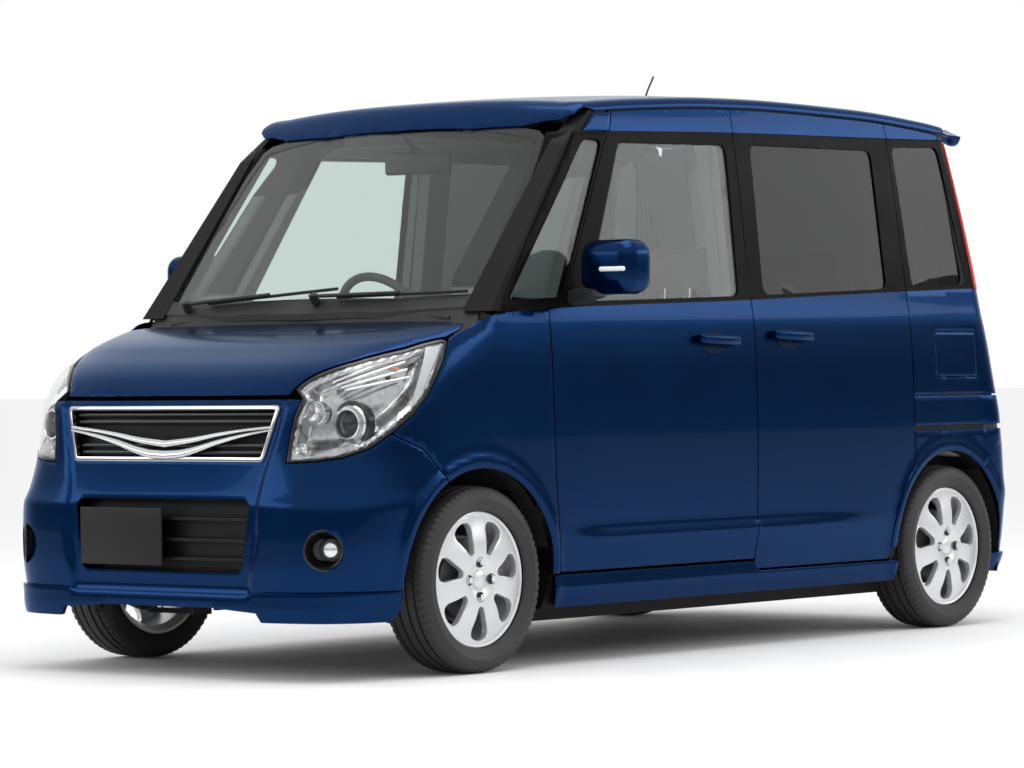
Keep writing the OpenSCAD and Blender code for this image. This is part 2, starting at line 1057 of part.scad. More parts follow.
// Seat seen from the side: cushion, backrest and headrest
module seat_shape() {
  hull() {
    translate([-220, seat_height - 60])
      circle(55);
    translate([180, seat_height - 90])
      circle(60);
    translate([-200, seat_height - 150])
      circle(40);
  }
  hull() {
    translate([200, seat_height - 70])
      circle(70);
    translate([330, seat_height + 440])
      circle(48);
  }
  hull() {
    translate([346, seat_height + 520])
      circle(40);
    translate([358, seat_height + 600])
      circle(40);
  }
  translate([330, seat_height + 440])
    rotate(10)
      square([20, 120]);
}

module front_seats() {
  color([0.24, 0.24, 0.25])
    both_sides()
      translate([90, -20, 0]) {
        across(0, seat_width)
          seat_shape();
        translate([60, -220, 240])
          cube([seat_width - 120, 380, seat_height - 400]);
      }
}

module rear_seat() {
  color([0.24, 0.24, 0.25])
    difference() {
      translate([-560, rear_seat_y, 0]) {
        across(0, 1120)
          seat_shape();
        translate([60, -200, 240])
          cube([1000, 220, seat_height - 400]);
      }
      both_sides()
        translate([425, axle_rear, axle_z])
          rotate([0, 90, 0])
            cylinder(h = 200, r = arch_r + 16);
    }
}

// Running gear
module engine() {
  color([0.12, 0.12, 0.13]) {
    translate([-300, axle_front - 330, 290])
      cube([600, 400, 480]);
    translate([-330, axle_front - 120, 220])
      cube([660, 60, 80]);
  }
}

module front_suspension() {
  color([0.08, 0.08, 0.085])
    difference() {
      union() {
        both_sides() {
          translate([390, axle_front - 40, 136])
            cube([14, 80, 578]);
          translate([400, axle_front - 16, 384])
            cube([200, 32, 14]);
          translate([400, axle_front - 16, 138])
            cube([200, 32, 14]);
          for (z = [138, 384])
            translate([king_x, axle_front, z])
              cylinder(h = 14, r = 20);
          translate([450, axle_front, 145])
            cylinder(h = 560, r = 14);
          translate([450, axle_front, 420])
            cylinder(h = 270, r = 40);
          translate([400, axle_front - 40, 700])
            cube([100, 80, 14]);
        }
        translate([-404, axle_front + 20, 186])
          cube([808, 20, 14]);
      }
      both_sides()
        translate([king_x, axle_front, 100])
          cylinder(h = 400, r = 12);
    }
}

// Hub face of one wheel, standing on the YZ plane with the wheel outwards along +X
module hub() {
  rotate([0, 90, 0]) {
    translate([0, 0, -44])
      cylinder(h = 43.5, r = 66);
    translate([0, 0, -10])
      cylinder(h = 32, d = hub_bore - 2 * hub_clearance);
    translate([0, 0, -34])
      cylinder(h = 14, r = 124);
  }
}

module knuckle(side) {
  on_side(side)
    translate([wheel_x + 14, axle_front, axle_z]) {
      hub();
      translate([king_x - wheel_x - 14 - 30, -34, -95])
        cube([46, 68, 190]);
      translate([king_x - wheel_x - 14, 0, -130])
        cylinder(h = 260, r = 12 - hub_clearance);
      translate([-85, 30, -52])
        cube([24, 100, 22]);
    }
}

module knuckle_left() {
  color([0.3, 0.3, 0.31])
    knuckle(1);
}

module knuckle_right() {
  color([0.3, 0.3, 0.31])
    knuckle(-1);
}

module rear_axle() {
  color([0.08, 0.08, 0.085]) {
    both_sides()
      translate([wheel_x + 14, axle_rear, axle_z])
        hub();
    translate([-wheel_x + 20, axle_rear, axle_z])
      rotate([0, 90, 0])
        cylinder(h = 2 * wheel_x - 40, r = 34);
    both_sides()
      translate([370, axle_rear - 330, 250])
        cube([44, 340, 36]);
  }
}

module underfloor() {
  color([0.1, 0.1, 0.105]) {
    translate([-330, 480, 165])
      cube([560, 400, 35]);
    translate([330, 500, 177])
      rotate([-90, 0, 0])
        cylinder(h = 1000, r = 22);
    translate([330, 700, 177])
      cylinder(h = 23, r = 16);
    translate([240, axle_rear + 170, 150])
      cube([180, 150, 180]);
  }
}

module wipers() {
  color([0.02, 0.02, 0.02])
    difference() {
      for (x = [-80, 400])
        hull() {
          translate([x, screen_front + 28, 1020])
            cylinder(h = 46, r = 12);
          translate([x - 380, screen_front + 46 + (x > 0 ? -14 : 20), 1020])
            cylinder(h = 52, r = 7);
        }
      skin(2);
    }
}

module antenna() {
  base = roof_z(0, antenna_y, 0) + 0.3;
  color([0.02, 0.02, 0.02]) {
    translate([0, antenna_y, base])
      cylinder(h = 20, r1 = 26, r2 = 16);
    translate([0, antenna_y, base + 14])
      rotate([-37, 0, 0])
        cylinder(h = 100, r = 4);
  }
}

module tyre() {
  color([0.02, 0.02, 0.02])
    rotate([0, 90, 0])
      rotate_extrude($fn = 64)
        polygon([
          [rim_d / 2 - 22, -tyre_w / 2 + 14], [rim_d / 2 - 2, -tyre_w / 2 + 8], [rim_d / 2 + 28, -tyre_w / 2],
          [tyre_d / 2 - 22, -tyre_w / 2 + 4], [tyre_d / 2 - 5, -tyre_w / 2 + 14], [tyre_d / 2, -tyre_w / 2 + 30],
          [tyre_d / 2, tyre_w / 2 - 30], [tyre_d / 2 - 5, tyre_w / 2 - 14], [tyre_d / 2 - 22, tyre_w / 2 - 4],
          [rim_d / 2 + 28, tyre_w / 2], [rim_d / 2 - 2, tyre_w / 2 - 8], [rim_d / 2 - 22, tyre_w / 2 - 14]
        ]);
}

// Alloy wheel with its outer face towards +X and its hub face at x = 14
module rim() {
  color([0.55, 0.56, 0.58])
    rotate([0, 90, 0])
      difference() {
        union() {
          rotate_extrude($fn = 64)
            polygon([
              [rim_d / 2 - 34, -tyre_w / 2 + 6], [rim_d / 2 - 2, -tyre_w / 2 + 2], [rim_d / 2 - 2, -tyre_w / 2 + 8],
              [rim_d / 2 - 22, -tyre_w / 2 + 14], [rim_d / 2 - 22, tyre_w / 2 - 14],
              [rim_d / 2 - 2, tyre_w / 2 - 8], [rim_d / 2 - 2, tyre_w / 2 - 1], [rim_d / 2 - 8, tyre_w / 2],
              [rim_d / 2 - 34, tyre_w / 2 - 14]
            ]);
          rotate_extrude($fn = 64)
            polygon([
              [0, 14], [70, 14], [80, 22], [rim_d / 2 - 28, 40], [rim_d / 2 - 28, tyre_w / 2 - 16], [120, 60],
              [70, 50], [34, 48], [30, 54], [0, 54]
            ]);
        }
        for (k = [0:wheel_windows - 1])
          rotate([0, 0, (k + 0.5) * 360 / wheel_windows + 180])
            translate([0, 0, -10])
              linear_extrude(200) {
                translate([126, 0])
                  circle(32);
                translate([92, 0])
                  circle(15);
                polygon([[90, -15], [122, -32], [122, 32], [90, 15]]);
              }
        translate([0, 0, -1])
          cylinder(h = 42, d = hub_bore);
        for (a = [0:90:270])
          rotate([0, 0, a])
            translate([bolt_circle / 2, 0, 32])
              cylinder(h = 80, r = 12);
      }
}

module at_wheel(side, y) {
  translate([side * wheel_x, y, axle_z])
    on_side(side)
      children();
}

module tyre_front_left() {
  at_wheel(1, axle_front)
    tyre();
}

module tyre_front_right() {
  at_wheel(-1, axle_front)
    tyre();
}

module tyre_rear_left() {
  at_wheel(1, axle_rear)
    tyre();
}

module tyre_rear_right() {
  at_wheel(-1, axle_rear)
    tyre();
}

module rim_front_left() {
  at_wheel(1, axle_front)
    rim();
}

module rim_front_right() {
  at_wheel(-1, axle_front)
    rim();
}

module rim_rear_left() {
  at_wheel(1, axle_rear)
    rim();
}

module rim_rear_right() {
  at_wheel(-1, axle_rear)
    rim();
}

body_side_left();
body_side_right();
roof_panel();
floor_pan();
bulkhead();
wheel_liners();
wing_left();
wing_right();
bonnet();
front_bumper();
rear_bumper();
upper_grille();
lower_grille();
front_lamps();
tail_lamps();
windscreen();
side_glass();
front_door_left();
front_door_right();
door_glass_left();
door_glass_right();
mirror_left();
mirror_right();
sliding_door_left();
sliding_door_right();
tailgate();
rear_glass();
fuel_lid();
hinge_pins();
dashboard();
steering_wheel();
front_seats();
rear_seat();
engine();
front_suspension();
knuckle_left();
knuckle_right();
rear_axle();
underfloor();
wipers();
antenna();
tyre_front_left();
tyre_front_right();
tyre_rear_left();
tyre_rear_right();
rim_front_left();
rim_front_right();
rim_rear_left();
rim_rear_right();
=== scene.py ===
import math

import bpy
import numpy as np
from mathutils import Matrix, Vector
from mathutils.geometry import delaunay_2d_cdt


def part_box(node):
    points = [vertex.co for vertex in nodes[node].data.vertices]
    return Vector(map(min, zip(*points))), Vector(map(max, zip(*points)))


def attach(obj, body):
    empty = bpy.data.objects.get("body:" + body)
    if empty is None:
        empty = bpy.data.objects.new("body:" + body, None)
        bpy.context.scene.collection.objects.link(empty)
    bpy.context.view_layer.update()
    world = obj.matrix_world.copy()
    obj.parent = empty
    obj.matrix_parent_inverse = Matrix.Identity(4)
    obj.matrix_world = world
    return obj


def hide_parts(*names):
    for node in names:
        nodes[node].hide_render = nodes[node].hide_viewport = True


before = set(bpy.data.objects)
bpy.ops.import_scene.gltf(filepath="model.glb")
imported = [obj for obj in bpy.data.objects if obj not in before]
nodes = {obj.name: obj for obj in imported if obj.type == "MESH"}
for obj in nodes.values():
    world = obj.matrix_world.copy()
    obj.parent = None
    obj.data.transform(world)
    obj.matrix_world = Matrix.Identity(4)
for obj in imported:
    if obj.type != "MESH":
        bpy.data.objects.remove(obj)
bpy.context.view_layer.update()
bpy.ops.object.select_all(action="DESELECT")

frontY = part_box("front_bumper")[0].y
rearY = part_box("rear_bumper")[1].y
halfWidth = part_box("sliding_door_left")[1].x
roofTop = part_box("roof_panel")[1].z
wheelLow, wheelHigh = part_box("tyre_front_left")
axleFront = (wheelLow.y + wheelHigh.y) / 2
axleZ = (wheelLow.z + wheelHigh.z) / 2
wheelX = (wheelLow.x + wheelHigh.x) / 2
rearLow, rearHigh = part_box("tyre_rear_left")
axleRear = (rearLow.y + rearHigh.y) / 2
print("frame loaded, car", round(rearY - frontY, 3), "m long")


# camera, floor and light
cameraSet = {
    "place": (8.074, -9.8185, 0.846),
    "right": (0.7705, 0.6373, -0.0112),
    "up": (0.0088, 0.0069, 0.9999),
    "focal": 3994 / 1024 * 36,
    "shift": (-0.0101, -0.0084),
}
cameraData = bpy.data.cameras.new("camera")
camera = bpy.data.objects.new("camera", cameraData)
bpy.context.scene.collection.objects.link(camera)
right = Vector(cameraSet["right"]).normalized()
up = Vector(cameraSet["up"]).normalized()
back = right.cross(up).normalized()
camera.matrix_world = Matrix.Translation(cameraSet["place"]) @ Matrix((right, back.cross(right), back)).transposed().to_4x4()
cameraData.lens = cameraSet["focal"]
cameraData.sensor_width = 36
cameraData.shift_x, cameraData.shift_y = cameraSet["shift"]
cameraData.clip_end = 200
bpy.context.scene.camera = camera
bpy.context.scene.view_settings.view_transform = "Standard"


def setSockets(node, sockets):
    for name, value in sockets.items():
        node.inputs[name.replace("_", " ")].default_value = value


def nodeOf(tree, kind, operation=None, **sockets):
    made = tree.nodes.new(kind)
    if operation:
        made.operation = operation
    setSockets(made, sockets)
    return made


def mixOf(tree, **colours):
    made = tree.nodes.new("ShaderNodeMix")
    made.data_type = "RGBA"
    setSockets(made, colours)
    return made


def wire(tree, *pairs):  # each pair is an output and the input it feeds
    for source, target in pairs:
        tree.links.new(source, target)


studio = {"sky": 1.0, "wall": 0.1, "floor": (0.88, 0.88, 0.88), "overhead": 140, "front": 55, "side": 90}
world = bpy.data.worlds.new("studio")
bpy.context.scene.world = world
world.use_nodes = True
tree = world.node_tree
tree.nodes.clear()
rays = nodeOf(tree, "ShaderNodeLightPath")
seenRays = nodeOf(tree, "ShaderNodeMath", "MAXIMUM")
seenMore = nodeOf(tree, "ShaderNodeMath", "MAXIMUM")
softSky = nodeOf(tree, "ShaderNodeBackground", Color=(1, 1, 1, 1), Strength=studio["sky"])
paleSky = nodeOf(tree, "ShaderNodeBackground", Color=(1, 1, 1, 1))
skyMix = nodeOf(tree, "ShaderNodeMixShader")
skyOut = nodeOf(tree, "ShaderNodeOutputWorld")
skyWay = nodeOf(tree, "ShaderNodeTexCoord")  # white behind the car, dimmer walls round the camera, bright overhead
skyAhead = nodeOf(tree, "ShaderNodeVectorMath", "DOT_PRODUCT")
skyAhead.inputs[1].default_value = -back
skyParts = nodeOf(tree, "ShaderNodeSeparateXYZ")
aheadRange = nodeOf(tree, "ShaderNodeMapRange", From_Min=0.35, From_Max=0.85)
highRange = nodeOf(tree, "ShaderNodeMapRange", From_Min=0.03, From_Max=0.32, To_Min=studio["wall"])
skyLevel = nodeOf(tree, "ShaderNodeMath", "MAXIMUM")
wire(
    tree,
    (rays.outputs["Is Camera Ray"], seenRays.inputs[0]), (rays.outputs["Is Transmission Ray"], seenRays.inputs[1]),
    (seenRays.outputs[0], seenMore.inputs[0]), (rays.outputs["Is Glossy Ray"], seenMore.inputs[1]),
    (seenMore.outputs[0], skyMix.inputs["Fac"]), (softSky.outputs[0], skyMix.inputs[1]),
    (paleSky.outputs[0], skyMix.inputs[2]), (skyMix.outputs[0], skyOut.inputs["Surface"]),
    (skyWay.outputs["Generated"], skyAhead.inputs[0]), (skyWay.outputs["Generated"], skyParts.inputs[0]),
    (skyAhead.outputs["Value"], aheadRange.inputs["Value"]), (skyParts.outputs["Z"], highRange.inputs["Value"]),
    (aheadRange.outputs["Result"], skyLevel.inputs[0]), (highRange.outputs["Result"], skyLevel.inputs[1]),
    (skyLevel.outputs[0], paleSky.inputs["Strength"]),
)

bpy.ops.mesh.primitive_plane_add(size=400, location=(0, 0, 0))
floor = bpy.context.object
floor.name = "studioFloor"


def softbox(name, place, aim, size, power):
    data = bpy.data.lights.new(name, "AREA")
    data.shape = "RECTANGLE"
    data.size, data.size_y = size
    data.energy = power
    lamp = bpy.data.objects.new(name, data)
    bpy.context.scene.collection.objects.link(lamp)
    lamp.location = place
    lamp.rotation_euler = (Vector(aim) - Vector(place)).to_track_quat("-Z", "Y").to_euler()


softbox("overhead", (0.8, -0.6, 5.2), (0, 0, 0.6), (3.0, 5.5), studio["overhead"])
softbox("frontFill", (-4.2, -6.4, 2.9), (0, -1.2, 0.8), (5, 1.7), studio["front"])
softbox("sideFill", (5.2, 5.0, 2.9), (0.4, 0.2, 0.9), (6, 1.7), studio["side"])


# finishes
def newMaterial(name, **sockets):
    made = bpy.data.materials.new(name)
    made.use_nodes = True
    shader = made.node_tree.nodes["Principled BSDF"]
    setSockets(shader, sockets)
    return made, made.node_tree, shader


def newGroup(name, inputs, outputs):
    group = bpy.data.node_groups.new(name, "ShaderNodeTree")
    for label, kind, value in inputs:
        socket = group.interface.new_socket(label, in_out="INPUT", socket_type=kind)
        socket.default_value = value
    for label, kind in outputs:
        group.interface.new_socket(label, in_out="OUTPUT", socket_type=kind)
    return group, group.nodes.new("NodeGroupInput"), group.nodes.new("NodeGroupOutput")


# fine grain: object coordinates through noise, out as a colour, a roughness and a bump
grainGroup, grainIn, grainOut = newGroup(
    "surfaceGrain",
    [
        ("Scale", "NodeSocketFloat", 400.0),
        ("Dark", "NodeSocketColor", (0, 0, 0, 1)),
        ("Light", "NodeSocketColor", (1, 1, 1, 1)),
        ("Rough Low", "NodeSocketFloat", 0.3),
        ("Rough High", "NodeSocketFloat", 0.5),
        ("Depth", "NodeSocketFloat", 0.1),
        ("Width", "NodeSocketFloat", 0.001),
    ],
    [("Color", "NodeSocketColor"), ("Roughness", "NodeSocketFloat"), ("Normal", "NodeSocketVector")],
)
coords = nodeOf(grainGroup, "ShaderNodeTexCoord")
speckle = nodeOf(grainGroup, "ShaderNodeTexNoise", Detail=3)
cloud = nodeOf(grainGroup, "ShaderNodeTexNoise", Scale=6)
colourMix = mixOf(grainGroup)
roughMix = nodeOf(grainGroup, "ShaderNodeMapRange", From_Min=0.35, From_Max=0.65)
dent = nodeOf(grainGroup, "ShaderNodeBump")
wire(
    grainGroup,
    (coords.outputs["Object"], speckle.inputs["Vector"]), (coords.outputs["Object"], cloud.inputs["Vector"]),
    (grainIn.outputs["Scale"], speckle.inputs["Scale"]), (speckle.outputs["Fac"], colourMix.inputs["Factor"]),
    (grainIn.outputs["Dark"], colourMix.inputs["A"]), (grainIn.outputs["Light"], colourMix.inputs["B"]),
    (cloud.outputs["Fac"], roughMix.inputs["Value"]), (grainIn.outputs["Rough Low"], roughMix.inputs["To Min"]),
    (grainIn.outputs["Rough High"], roughMix.inputs["To Max"]), (speckle.outputs["Fac"], dent.inputs["Height"]),
    (grainIn.outputs["Depth"], dent.inputs["Strength"]), (grainIn.outputs["Width"], dent.inputs["Distance"]),
    (colourMix.outputs["Result"], grainOut.inputs["Color"]),
    (roughMix.outputs["Result"], grainOut.inputs["Roughness"]), (dent.outputs["Normal"], grainOut.inputs["Normal"]),
)


def grained(name, dark, light, scale, rough, depth, width=0.0006, **sockets):
    made, tree, shader = newMaterial(name, **sockets)
    grain = tree.nodes.new("ShaderNodeGroup")
    grain.node_tree = grainGroup
    setSockets(grain, {
        "Scale": scale, "Dark": (*dark, 1), "Light": (*light, 1), "Rough Low": rough[0], "Rough High": rough[1],
        "Depth": depth, "Width": width})
    wire(
        tree, (grain.outputs["Color"], shader.inputs["Base Color"]),
        (grain.outputs["Roughness"], shader.inputs["Roughness"]), (grain.outputs["Normal"], shader.inputs["Normal"]))
    return made


paint = grained(
    "metallicBluePaint", (0.0006, 0.0105, 0.046), (0.0018, 0.029, 0.112), 900, (0.215, 0.235), 0.02, 0.0002, Metallic=0.94,
    Coat_Weight=0.22, Coat_Roughness=0.03, Coat_IOR=1.3, Specular_IOR_Level=0.3, Specular_Tint=(0.55, 0.64, 0.82, 1),
)
glossBlack = grained("glossBlack", (0.004, 0.004, 0.005), (0.008, 0.008, 0.009), 600, (0.12, 0.2), 0.02, 0.0002)
satinBlack = grained("satinBlack", (0.006, 0.006, 0.007), (0.016, 0.016, 0.017), 700, (0.45, 0.6), 0.15)
pillarBlack = grained(
    "pillarBlack", (0.002, 0.002, 0.0025), (0.004, 0.004, 0.0045), 600, (0.25, 0.34), 0.03, 0.0002, Specular_IOR_Level=0.03)
rubber = grained("doorRubber", (0.004, 0.004, 0.004), (0.012, 0.012, 0.012), 500, (0.6, 0.75), 0.2)
chrome = grained("chrome", (0.56, 0.57, 0.58), (0.66, 0.67, 0.68), 300, (0.06, 0.12), 0.01, 0.0002, Metallic=1.0)
chassis = grained("chassisBlack", (0.012, 0.012, 0.013), (0.03, 0.03, 0.032), 120, (0.5, 0.7), 0.3, 0.001)
castMetal = grained("castMetal", (0.1, 0.1, 0.105), (0.2, 0.2, 0.205), 90, (0.45, 0.65), 0.3, 0.001, Metallic=0.7)
headlining = grained("headlining", (0.36, 0.36, 0.355), (0.46, 0.46, 0.45), 900, (0.8, 0.9), 0.3)
dashPlastic = grained("dashPlastic", (0.11, 0.112, 0.115), (0.16, 0.162, 0.165), 700, (0.5, 0.62), 0.3)
seatCloth = grained("seatCloth", (0.1, 0.1, 0.105), (0.2, 0.2, 0.21), 1100, (0.85, 0.95), 0.5, 0.001, Sheen_Weight=0.3)
clearGlass = grained(
    "clearGlass", (0.86, 0.93, 0.9), (0.88, 0.95, 0.92), 5, (0.0, 0.01), 0.0, Transmission_Weight=1.0, IOR=1.35
)
doorGlass = grained(
    "doorGlass", (0.62, 0.7, 0.675), (0.64, 0.72, 0.695), 5, (0.0, 0.01), 0.0, Transmission_Weight=1.0, IOR=1.3
)
darkGlass = grained(
    "privacyGlass", (0.042, 0.048, 0.048), (0.052, 0.058, 0.058), 5, (0.0, 0.01), 0.0, Transmission_Weight=1.0, IOR=1.22
)
redLens = grained("redLens", (0.4, 0.004, 0.006), (0.55, 0.008, 0.01), 60, (0.08, 0.15), 0.05, 0.001, Coat_Weight=0.6)
paleFloor = grained("paleFloor", studio["floor"], (0.9, 0.9, 0.9), 40, (0.6, 0.75), 0.02)
floor.data.materials.append(paleFloor)
print("finishes made")


# body surface: the same tables as the solids, followed smoothly
def smoothTable(rows):
    xs, ys = [r[0] for r in rows], [r[1] for r in rows]
    slope = [(ys[k + 1] - ys[k]) / (xs[k + 1] - xs[k]) for k in range(len(xs) - 1)]
    tangent = [slope[0]]
    for a, b in zip(slope, slope[1:]):
        tangent.append(0 if a * b <= 0 else 2 * a * b / (a + b))
    tangent.append(slope[-1])

    def value(v):
        if v <= xs[0]:
            return ys[0]
        if v >= xs[-1]:
            return ys[-1]
        k = max(i for i in range(len(xs) - 1) if xs[i] <= v)
        h = xs[k + 1] - xs[k]
        t = (v - xs[k]) / h
        return (
            (1 + 2 * t) * (1 - t) ** 2 * ys[k] + t * (1 - t) ** 2 * h * tangent[k]
            + t * t * (3 - 2 * t) * ys[k + 1] + t * t * (t - 1) * h * tangent[k + 1]
        )

    return value


body = {
    "noseDepth": 0.700,
    "noseTaper": 0.015,
    "tailRadius": 0.130,
    "screenBase": 1.030,
    "screenSlope": 1.25,
    "screenBow": 0.055,
    "archRadius": 0.316,
    "skin": 0.003,
    "gap": 0.0022,
}
noseAxis = frontY + body["noseDepth"]
screenFront = noseAxis - 0.1075
sideInset = smoothTable(
    [(0.15, 0.046), (0.26, 0.017), (0.4, 0.003), (0.62, 0), (0.85, 0.004), (1.0, 0.013), (1.075, 0.023),
     (1.6, 0.087), (1.69, 0.105)]
)
noseSetback = smoothTable(
    [(0.15, 0.024), (0.24, 0.006), (0.33, 0.0), (0.49, 0.004), (0.515, 0.01), (0.62, 0.026), (0.77, 0.043),
     (0.8, 0.063), (0.845, 0.098), (0.88, 0.148), (0.925, 0.248), (0.948, 0.307), (0.985, 0.448), (1.022, 0.65)]
)
tailSwell = smoothTable([(0.64, 0.034), (0.7, 0.032), (0.8, 0.02), (0.88, 0.012), (0.96, 0.006), (1.03, 0)])
nosePower = smoothTable([(0.3, 5.9), (0.48, 5.7), (0.54, 5.0), (0.62, 4.5), (0.7, 4.3)])
bodyTail = smoothTable([(0.6, 0.076), (0.75, 0.082), (1.11, 0.112), (1.62, 0.222), (1.735, 0.25)])
bumperTail = smoothTable(
    [(0.15, 0.025), (0.23, 0.002), (0.42, 0.0), (0.6, 0.012), (0.655, 0.022), (0.67, 0.032), (0.679, 0.052), (0.6845, 0.1)]
)
roofDrop = smoothTable(
    [(-0.65, 0.066), (-0.5, 0.043), (-0.2, 0.02), (0.1, 0.005), (0.4, 0), (0.9, 0.007), (1.3, 0.03), (1.5, 0.052)]
)
planTaper = smoothTable([(noseAxis, body["noseTaper"]), (-0.6, 0), (0.8, 0), (1.4, 0.012)])
beltLine = smoothTable([(-1.1, 1.024), (-0.745, 1.048), (0.14, 1.076), (0.91, 1.107), (1.5, 1.127)])
dripLine = smoothTable([(-0.65, 1.569), (0.225, 1.597), (0.965, 1.61), (1.365, 1.619)])
creaseFade = smoothTable([(-0.76, 0), (-0.5, 1), (0.3, 1), (0.9, 0)])


def blendStep(v, low, high):
    t = min(1, max(0, (v - low) / (high - low)))
    return t * t * (3 - 2 * t)


def roofZ(x, y):
    return roofTop - roofDrop(y) - 0.028 * (abs(x) / 0.6) ** 2.6


def screenY(x, z):
    return screenFront + body["screenBow"] * (x / 0.63) ** 2 + (z - body["screenBase"]) / body["screenSlope"]


def archLip(y, z):
    lip = 0
    for wheelY in (axleFront, axleRear):
        r = math.hypot(y - wheelY, z - axleZ)
        lip += 0.006 * math.exp(-(((r - 0.335) / 0.02) ** 2))
    return lip


def sideX(y, z):
    crease = 0.007 * creaseFade(y) * blendStep(z, 0.397, 0.38) * blendStep(z, 0.29, 0.372)
    return halfWidth - sideInset(z) - planTaper(y) + crease + archLip(y, z)


def noseWide(z):
    return halfWidth - sideInset(z) - body["noseTaper"]


def noseReach(z):
    return body["noseDepth"] - noseSetback(z)


def noseAhead(x, z):  # how far the nose stands ahead of its axis at this x
    return noseReach(z) * (1 - min(1, abs(x) / noseWide(z)) ** nosePower(z)) ** (1 / nosePower(z))


def noseCurve(angle, z, out):
    wide, reach, p = noseWide(z) + out, noseReach(z) + out, nosePower(z)
    r = ((math.cos(angle) / wide) ** p + (math.sin(angle) / reach) ** p) ** (-1 / p)
    return r * math.cos(angle), r * math.sin(angle)


noseAngles = np.linspace(math.pi / 2 - 1e-6, 1e-6, 600)
nosePoints = np.array([noseCurve(a, 0.5, 0) for a in noseAngles])
noseRun = np.concatenate([[0], np.cumsum(np.hypot(*np.diff(nosePoints, axis=0).T))])
noseEnd = noseRun[-1]


def maskStep(x, z):  # the middle of the nose sits back behind a crease on each side
    edge = 0.372 + 0.058 * blendStep(z, 0.5, 0.79) - 0.03 * blendStep(z, 0.42, 0.25)
    return 0.011 * (1 - blendStep(abs(x), edge - 0.006, edge + 0.02)) * blendStep(z, 0.232, 0.262)


def around(s, z, out=0.0, tail=bodyTail):  # s runs from the nose's middle along the side to the tail's middle
    side = -1 if s < 0 else 1
    s = abs(s)
    if s < noseEnd:
        angle = np.interp(s, noseRun, noseAngles)
        x, ahead = noseCurve(angle, z, out)
        y = noseAxis - ahead
        return Vector((side * (x + archLip(y, z)), y + maskStep(x, z) * blendStep(ahead, 0.5, 0.6), z))
    y = noseAxis + s - noseEnd
    r = body["tailRadius"]
    tailY = rearY - tail(z) + out
    turn = y - (tailY - r)
    if turn <= 0:
        return Vector((side * (sideX(y, z) + out), y, z))
    wide = sideX(tailY - r, z) + out
    if turn < r * math.pi / 2:
        swell = tailSwell(z) * math.sin(2 * turn / r) ** 0.7 if tail is bodyTail else 0
        across, along = (r + swell) * math.cos(turn / r), (r + swell) * math.sin(turn / r)
        return Vector((side * (wide - r + across), tailY - r + along, z))
    return Vector((side * (wide - r - (turn - r * math.pi / 2)), tailY, z))


def runFromAngle(angle):
    return float(np.interp(angle, noseAngles[::-1], noseRun[::-1]))


def atX(x, z):  # place along the run of a point on the nose at this x
    return math.copysign(runFromAngle(math.atan2(noseAhead(x, z), abs(x))), x)


def atY(y, z, tail=bodyTail):  # place along the run of a point on the side at this y
    if y < noseAxis:
        ahead = min(noseReach(z), noseAxis - y)
        x = noseWide(z) * (1 - (ahead / noseReach(z)) ** nosePower(z)) ** (1 / nosePower(z))
        return runFromAngle(math.atan2(ahead, x))
    tailY = rearY - tail(z)
    r = body["tailRadius"]
    if y <= tailY - r:
        return noseEnd + y - noseAxis
    return noseEnd + tailY - r - noseAxis + r * math.asin(min(1, (y - tailY + r) / r))


def atRearX(x, z, tail=bodyTail):
    tailY = rearY - tail(z)
    r = body["tailRadius"]
    flat = sideX(tailY - r, z) - r
    turn = r * math.acos((x - flat) / r) if x > flat else r * math.pi / 2 + flat - x
    return noseEnd + tailY - r - noseAxis + turn


viewTurn = math.atan2(cameraSet["right"][1], cameraSet["right"][0])


def atView(u, z):  # place along the run of a point seen u to the right in the photograph's view
    low, high = 0.0, noseEnd + 0.3
    for step in range(40):
        middle = (low + high) / 2
        p = around(middle, z)
        if p.x * math.cos(viewTurn) + p.y * math.sin(viewTurn) < u:
            low = middle
        else:
            high = middle
    return low


def bonnetZ(x, y):
    low, high = 0.7, 1.03
    ahead = noseAxis - y
    for step in range(36):
        z = (low + high) / 2
        if (abs(x) / noseWide(z)) ** nosePower(z) + (ahead / noseReach(z)) ** nosePower(z) < 1:
            low = z
        else:
            high = z
    return low


def rearFaceY(x, z):
    tailY = rearY - bodyTail(z)
    r = body["tailRadius"]
    past = abs(x) - (sideX(tailY - r, z) - r)
    return tailY if past <= 0 else tailY - r + math.sqrt(max(0, r * r - past * past))


# panels: an outline on the body surface, filled with a fine net and given its sheet's thickness
def roundCorners(points, radius):
    made = []
    for k, p in enumerate(points):
        before, after = Vector(points[k - 1]), Vector(points[(k + 1) % len(points)])
        p = Vector(p)
        cut = min(radius, 0.45 * (before - p).length, 0.45 * (after - p).length)
        a, b = p + (before - p).normalized() * cut, p + (after - p).normalized() * cut
        for t in (0, 0.25, 0.5, 0.75, 1):
            made.append(tuple((1 - t) ** 2 * a + 2 * t * (1 - t) * p + t * t * b))
    return made


def inset(points, distance):
    area = sum(a[0] * b[1] - b[0] * a[1] for a, b in zip(points, points[1:] + points[:1]))
    turn = 1 if area > 0 else -1
    made = []
    for k, p in enumerate(points):
        a, p, b = Vector(points[k - 1]), Vector(p), Vector(points[(k + 1) % len(points)])
        one, two = (p - a).normalized(), (b - p).normalized()
        n1, n2 = Vector((-one.y, one.x)) * turn, Vector((-two.y, two.x)) * turn
        mean = n1 + n2
        if mean.length < 0.2:
            mean = n1
        mean.normalize()
        made.append(tuple(p + mean * distance / max(0.4, mean.dot(n1))))
    return made


